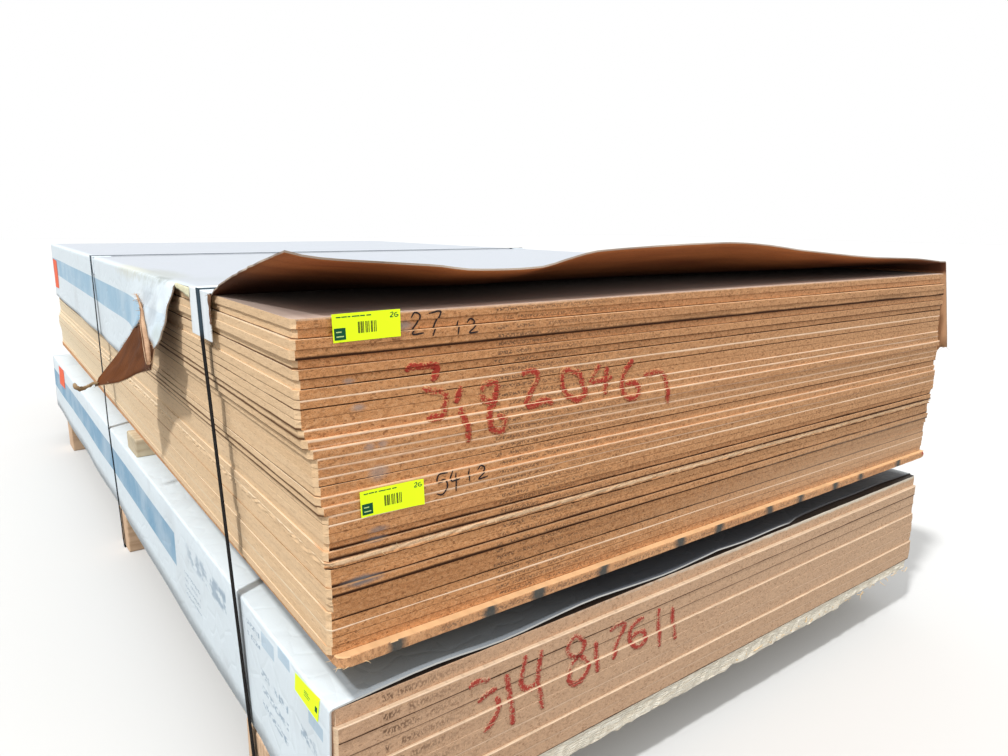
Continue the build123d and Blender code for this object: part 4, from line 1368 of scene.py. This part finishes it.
MARKER_STROKES = [
    [(-440, 668), (-436, 673), (-430, 670), (-432, 663), (-440, 652), (-427, 652)],
    [(-420, 671), (-406, 672), (-412, 660), (-417, 648)], [(-384, 661), (-386, 654), (-387, 647)],
    [(-373, 658), (-369, 662), (-364, 659), (-366, 654), (-373, 648), (-362, 648)],
    [(-404, 501), (-415, 501), (-417, 493), (-408, 494), (-406, 486), (-412, 479), (-419, 481)],
    [(-398, 502), (-401, 492), (-390, 492)], [(-394, 499), (-395, 486), (-395, 479)],
    [(-377, 500), (-378, 494), (-378, 487)],
    [(-366, 497), (-362, 501), (-357, 498), (-359, 493), (-366, 487), (-354, 488)],
]
LABEL_PLACES = [((-524, 650), (-454, 651), (-454, 678), (-525, 677)),
                ((-506, 475), (-435, 474), (-436, 502), (-507, 502))]
# Parts of a label: left, bottom, right and top as shares of it, and which finish
LABEL_PARTS = [(0.02, 0.08, 0.19, 0.50, 1), (0.05, 0.18, 0.16, 0.22, 3), (0.05, 0.34, 0.13, 0.38, 3)]
BARS_LOW, BARS_HIGH, BAR_WIDE = 0.26, 0.67, 0.011
ROW_LOW, ROW_HIGH = 0.855, 0.895
LABEL_BARS = (0.370, 0.385, 0.410, 0.425, 0.445, 0.480, 0.500, 0.525, 0.560, 0.575, 0.605, 0.630)
LABEL_ROW = ((0.06, 0.13), (0.14, 0.22), (0.23, 0.27), (0.29, 0.40), (0.41, 0.48), (0.50, 0.57))
LABEL_DIGITS = [[(0.85, 0.88), (0.89, 0.91), (0.89, 0.83), (0.85, 0.74), (0.90, 0.74)],
                [(0.96, 0.90), (0.92, 0.86), (0.92, 0.76), (0.95, 0.74), (0.97, 0.79), (0.93, 0.82)]]
# Corners of the labels on the flaps: place along, and down from the fold
FLAP_LABEL = ((0.095, 0.029), (0.030, 0.031), (0.024, 0.001), (0.092, 0.007))
FLAP_PRINTS = ((0.86, 0.30, 0.95, 0.55), (0.40, 0.40, 0.62, 0.44), (0.40, 0.52, 0.66, 0.56),
               (0.40, 0.62, 0.58, 0.66))
LOWER_ORANGE = ((2.265, 0.070), (2.13, 0.066), (2.13, 0.004), (2.265, 0.008))
UPPER_ORANGE = ((2.42, 0.150), (2.295, 0.146), (2.285, 0.052), (2.42, 0.050))


def fronts_of(nodes):
    """For each sheet: its underside and top, and its front edge's left and right ends."""
    return [(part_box(name)[0].z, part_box(name)[1].z, *plan_of(name)[:2]) for name in nodes]


def front_y(fronts, x, z):
    """How far back the front of a lift lies at this place of it."""
    _, _, left, right = min(fronts, key=lambda front: abs(z - (front[0] + front[1]) / 2))
    return left.y + (right.y - left.y) * (x - left.x) / (right.x - left.x)


def smooth_stroke(points, step):
    """Evenly spaced points of a smooth curve through these points."""
    points = [Vector(point) for point in points]
    ends = [points[0] * 2 - points[1], *points, points[-1] * 2 - points[-2]]
    curve = []
    for a, b, c, d in zip(ends, ends[1:], ends[2:], ends[3:]):
        for t in spread(0, 1, min(1.0, step / (c - b).length))[:-1]:
            bend = (c - a) * t + (2 * a - 5 * b + 4 * c - d) * t * t + (3 * b - a - 3 * c + d) * t ** 3
            curve.append(b + bend / 2)
    return curve + [points[-1]]


def ribbon(shape, points, width, seed, material=0):
    """Adds a flat ribbon with a worn outline, seen from the front, along these points."""
    last = len(points) - 1
    rows = []
    for i, point in enumerate(points):
        ahead = (points[min(i + 1, last)] - points[max(i - 1, 0)]).normalized()
        across = Vector((ahead.z, 0, -ahead.x))
        taper = min(1.0, 0.55 + 0.25 * min(i, last - i))
        row = []
        for side in (-1, -0.5, 0, 0.5, 1):
            worn = 1 + 0.25 * waver(i * 0.6, side, seed)
            row.append((point + across * side * taper * worn * width / 2, (i * MARK_STEP, (side + 1) / 2)))
        rows.append(row)
    add_grid(shape, rows, material)


def drawn(name, strokes, width, material, fronts):
    """Strokes drawn on the front of a lift. They break off at each joint between its sheets."""
    shape = bmesh.new()
    for number, stroke in enumerate(strokes):
        points = [(x / 1000, -number * STROKE_LIFT, z / 1000) for x, z in stroke]
        ribbon(shape, smooth_stroke(points, MARK_STEP), width, number)
    for low, _, _, _ in fronts:
        for z in (low - MARK_LIFT, low + MARK_LIFT):
            whole = shape.verts[:] + shape.edges[:] + shape.faces[:]
            bmesh.ops.bisect_plane(shape, geom=whole, plane_co=(0, 0, z), plane_no=(0, 0, 1))
    gaps = [face for face in shape.faces
            if any(abs(face.calc_center_median().z - low) < MARK_LIFT for low, _, _, _ in fronts)]
    bmesh.ops.delete(shape, geom=gaps, context="FACES")
    placed = set()
    for face in shape.faces:
        level = face.calc_center_median().z
        for vert in face.verts:
            if vert not in placed:
                placed.add(vert)
                vert.co.y += front_y(fronts, vert.co.x, level) - MARK_LIFT
    thickened(stand_in(name, shape, [material] * 3, None), 0.0001)


def crayon(name, look, first_layer, layer):
    """Wax crayon on a cut edge: it catches on the high chips and leaves the low ones bare."""
    material, tree, shader = new_material(name, 0.9)
    shader.inputs["Specular IOR Level"].default_value = 0.15
    bare, height = chip_colour(tree, look, first_layer, layer)
    _, across, _ = parted(tree, output(tree, "ShaderNodeUVMap", uv_map="flat"))
    from_middle = maths(tree, "ABSOLUTE", minus(tree, across, 0.5))
    grip = streaky(tree, (420, 420, 650), 3.0)
    press = streaky(tree, (45, 45, 60), 2.0)
    cover = plus(tree, plus(tree, grip, times(tree, press, 0.5)), times(tree, from_middle, -0.45))
    colour = mix(tree, remap(tree, cover, 0.50, 0.68, 0.0, 0.92), bare, CRAYON_RED)
    coat(tree, shader, colour, height, 0.0004, 0.7)
    return material


def plain(name, colour, painted_glow=0.0):
    """One flat colour, which may have a little painted glow, as bright as fluorescent paper looks."""
    material, _, shader = new_material(name, 0.6)
    shader.inputs["Base Color"].default_value = (*colour, 1.0)
    shader.inputs["Specular IOR Level"].default_value = 0.15
    if painted_glow:
        shader.inputs["Emission Color"].default_value = (*colour, 1.0)
        shader.inputs["Emission Strength"].default_value = painted_glow
    return material


def between(corners, u, v):
    """A place inside four corners: u from the first to the second, v from them to the other two."""
    low_left, low_right, high_right, high_left = [Vector(corner) for corner in corners]
    return low_left.lerp(low_right, u).lerp(high_left.lerp(high_right, u), v)


def patch(shape, point, box, material, step=0.2):
    """Adds a rectangle of a label: point gives the place of each u and v."""
    left, bottom, right, top = box
    across, up = spread(left, right, step), spread(bottom, top, step)
    add_grid(shape, [[(point(u, v), (u, v)) for u in across] for v in up], material)


upper_fronts, lower_fronts = fronts_of(thin_nodes), fronts_of(thick_nodes)
upper_wax = crayon("upper_crayon", thin_end_look, upper_low.z, thin)
lower_wax = crayon("lower_crayon", thick_end_look, lower_low.z, thick)
marker_ink = plain("marker_ink", MARKER_INK)
drawn("upper_crayon_number", UPPER_CRAYON, CRAYON_WIDE, upper_wax, upper_fronts)
drawn("lower_crayon_number", LOWER_CRAYON, CRAYON_WIDE, lower_wax, lower_fronts)
drawn("marker_numbers", MARKER_STROKES, MARKER_WIDE, marker_ink, upper_fronts)

# Painted glow: the yellow label shines a little of its own.
label_paper = plain("label_yellow", LABEL_YELLOW, LABEL_PAINTED_GLOW)
label_green = plain("label_green", LABEL_GREEN)
label_pale = plain("label_pale", LABEL_PALE)
for number, corners in enumerate(LABEL_PLACES, start=1):
    corners = [Vector((x / 1000, 0, z / 1000)) for x, z in corners]
    low, high = corners[0].z, corners[3].z
    foremost = min(front_y(upper_fronts, corners[0].x, low + (high - low) * share)
                   for share in spread(0, 1, 0.1))

    def on_label(u, v, lift=0.0):
        place = between(corners, u, v)
        place.y = foremost - 0.0008 - lift - 0.0012 * (2 * u - 1) ** 6
        return place

    shape = bmesh.new()
    patch(shape, on_label, (0, 0, 1, 1), 0, 0.1)
    prints = [(box, material, 0.0001 * material) for *box, material in LABEL_PARTS]
    prints += [((left, BARS_LOW, left + BAR_WIDE, BARS_HIGH), 2, 0.0002) for left in LABEL_BARS]
    prints += [((left, ROW_LOW, right, ROW_HIGH), 1, 0.0002) for left, right in LABEL_ROW]
    for box, material, lift in prints:
        patch(shape, lambda u, v: on_label(u, v, lift), box, material)
    for stroke in LABEL_DIGITS:
        ribbon(shape, smooth_stroke([on_label(u, v, 0.0003) for u, v in stroke], 0.001), 0.0009, number, 1)
    stand_in(f"lot_label_{number}", shape, [label_paper, label_green, marker_ink, label_pale], None)


def on_flap(corners, lift, upper=False):
    """Gives the place of each u and v of a label on the left flap of a cap."""
    def point(u, v):
        along, drop = between([(*corner, 0) for corner in corners], u, v)[:2]
        if upper:
            return leaning(along, drop + fold_arc - FOLD_ROUND) - Vector((lift, 0, 0))
        return lower_point(FOLD_ROUND - drop - fold_arc / 2, along, -1)[0] - right_way * lift
    return point


shape = bmesh.new()
patch(shape, on_flap(FLAP_LABEL, 0.0006), (0, 0, 1, 1), 0, 0.1)
for box in FLAP_PRINTS:
    patch(shape, on_flap(FLAP_LABEL, 0.0008), box, 1, 0.05)
stand_in("flap_label", shape, [label_paper, label_green], None)
label_orange = plain("label_orange", LABEL_ORANGE, 0.1)
for name, point in (("far_label_lower", on_flap(LOWER_ORANGE, 0.0008)),
                    ("far_label_upper", on_flap(UPPER_ORANGE, 0.0008, True))):
    shape = bmesh.new()
    patch(shape, point, (0, 0, 1, 1), 0, 0.1)
    stand_in(name, shape, [label_orange], None)

# Floor, light and camera: a plain pale floor, a lamp high on the left, a weak broad one
# from the front and a pale surround. The camera stands where the photograph was taken.
FLOOR_SIZE = 60.0
FLOOR_COLOUR = (0.72, 0.72, 0.71)
FLOOR_UNSEEN = (0.22, 0.22, 0.22)
SURROUND_LOW = 0.30
SURROUND_HIGH = 0.85
SURROUND_SEEN = 1.0
SUN_STRENGTH = 2.2
SUN_ANGLE = math.radians(4)
SUN_TRAVEL = Vector((0.526, 0.175, -0.832))
FILL_STRENGTH = 0.9
FILL_ANGLE = math.radians(60)
FILL_TRAVEL = Vector((-0.10, 0.90, -0.42))
CAMERA_SPOT = (-0.78646, -1.86652, 0.7617)
CAMERA_YAW = 0.6144
CAMERA_PITCH = -0.2079
CAMERA_ROLL = -0.0064
IMAGE_WIDTH = 1008
FOCAL_PIXELS = 739.064
SENSOR = 36.0

floor_shape = bmesh.new()
bmesh.ops.create_grid(floor_shape, x_segments=8, y_segments=8, size=FLOOR_SIZE / 2)
floor_mesh = bpy.data.meshes.new("floor")
floor_shape.to_mesh(floor_mesh)
floor_shape.free()
floor = in_scene("floor", floor_mesh)
floor_paint, tree, shader = new_material("floor_paint", 0.9)


def looked_at(tree):
    """1 where the camera looks, also by way of gloss or glass, and 0 for other light."""
    ray = tree.nodes.new("ShaderNodeLightPath").outputs
    return maths(tree, "MAXIMUM", ray["Is Camera Ray"],
                 maths(tree, "MAXIMUM", ray["Is Glossy Ray"], ray["Is Transmission Ray"]))


tree.links.new(mix(tree, looked_at(tree), FLOOR_UNSEEN, FLOOR_COLOUR), shader.inputs["Base Color"])
floor_mesh.materials.append(floor_paint)

world = bpy.data.worlds.new("surround")
bpy.context.scene.world = world
world.use_nodes = True
tree = world.node_tree
background = tree.nodes["Background"]
_, _, up = parted(tree, add_node(tree, "ShaderNodeTexCoord").outputs["Generated"])
even = remap(tree, up, 0.0, 0.6, SURROUND_LOW, SURROUND_HIGH)
strength = remap(tree, looked_at(tree), 0.0, 1.0, even, SURROUND_SEEN)
tree.links.new(strength, background.inputs["Strength"])
background.inputs["Color"].default_value = (1.0, 1.0, 1.0, 1.0)

for name, strength, angle, travel in (("soft_lamp", SUN_STRENGTH, SUN_ANGLE, SUN_TRAVEL),
                                      ("fill_lamp", FILL_STRENGTH, FILL_ANGLE, FILL_TRAVEL)):
    lamp_data = bpy.data.lights.new(name, "SUN")
    lamp_data.energy = strength
    lamp_data.angle = angle
    in_scene(name, lamp_data).rotation_euler = travel.to_track_quat("-Z", "Y").to_euler()

camera_data = bpy.data.cameras.new("camera")
camera_data.sensor_width = SENSOR
camera_data.lens = FOCAL_PIXELS / IMAGE_WIDTH * SENSOR
camera_data.clip_start = 0.05
camera_data.clip_end = 200.0
camera = in_scene("camera", camera_data)
aim = Matrix.Rotation(-CAMERA_YAW, 4, "Z") @ Matrix.Rotation(math.pi / 2 + CAMERA_PITCH, 4, "X")
camera.matrix_world = Matrix.Translation(CAMERA_SPOT) @ aim @ Matrix.Rotation(-CAMERA_ROLL, 4, "Z")
bpy.context.scene.camera = camera
bpy.context.scene.view_settings.view_transform = "Standard"
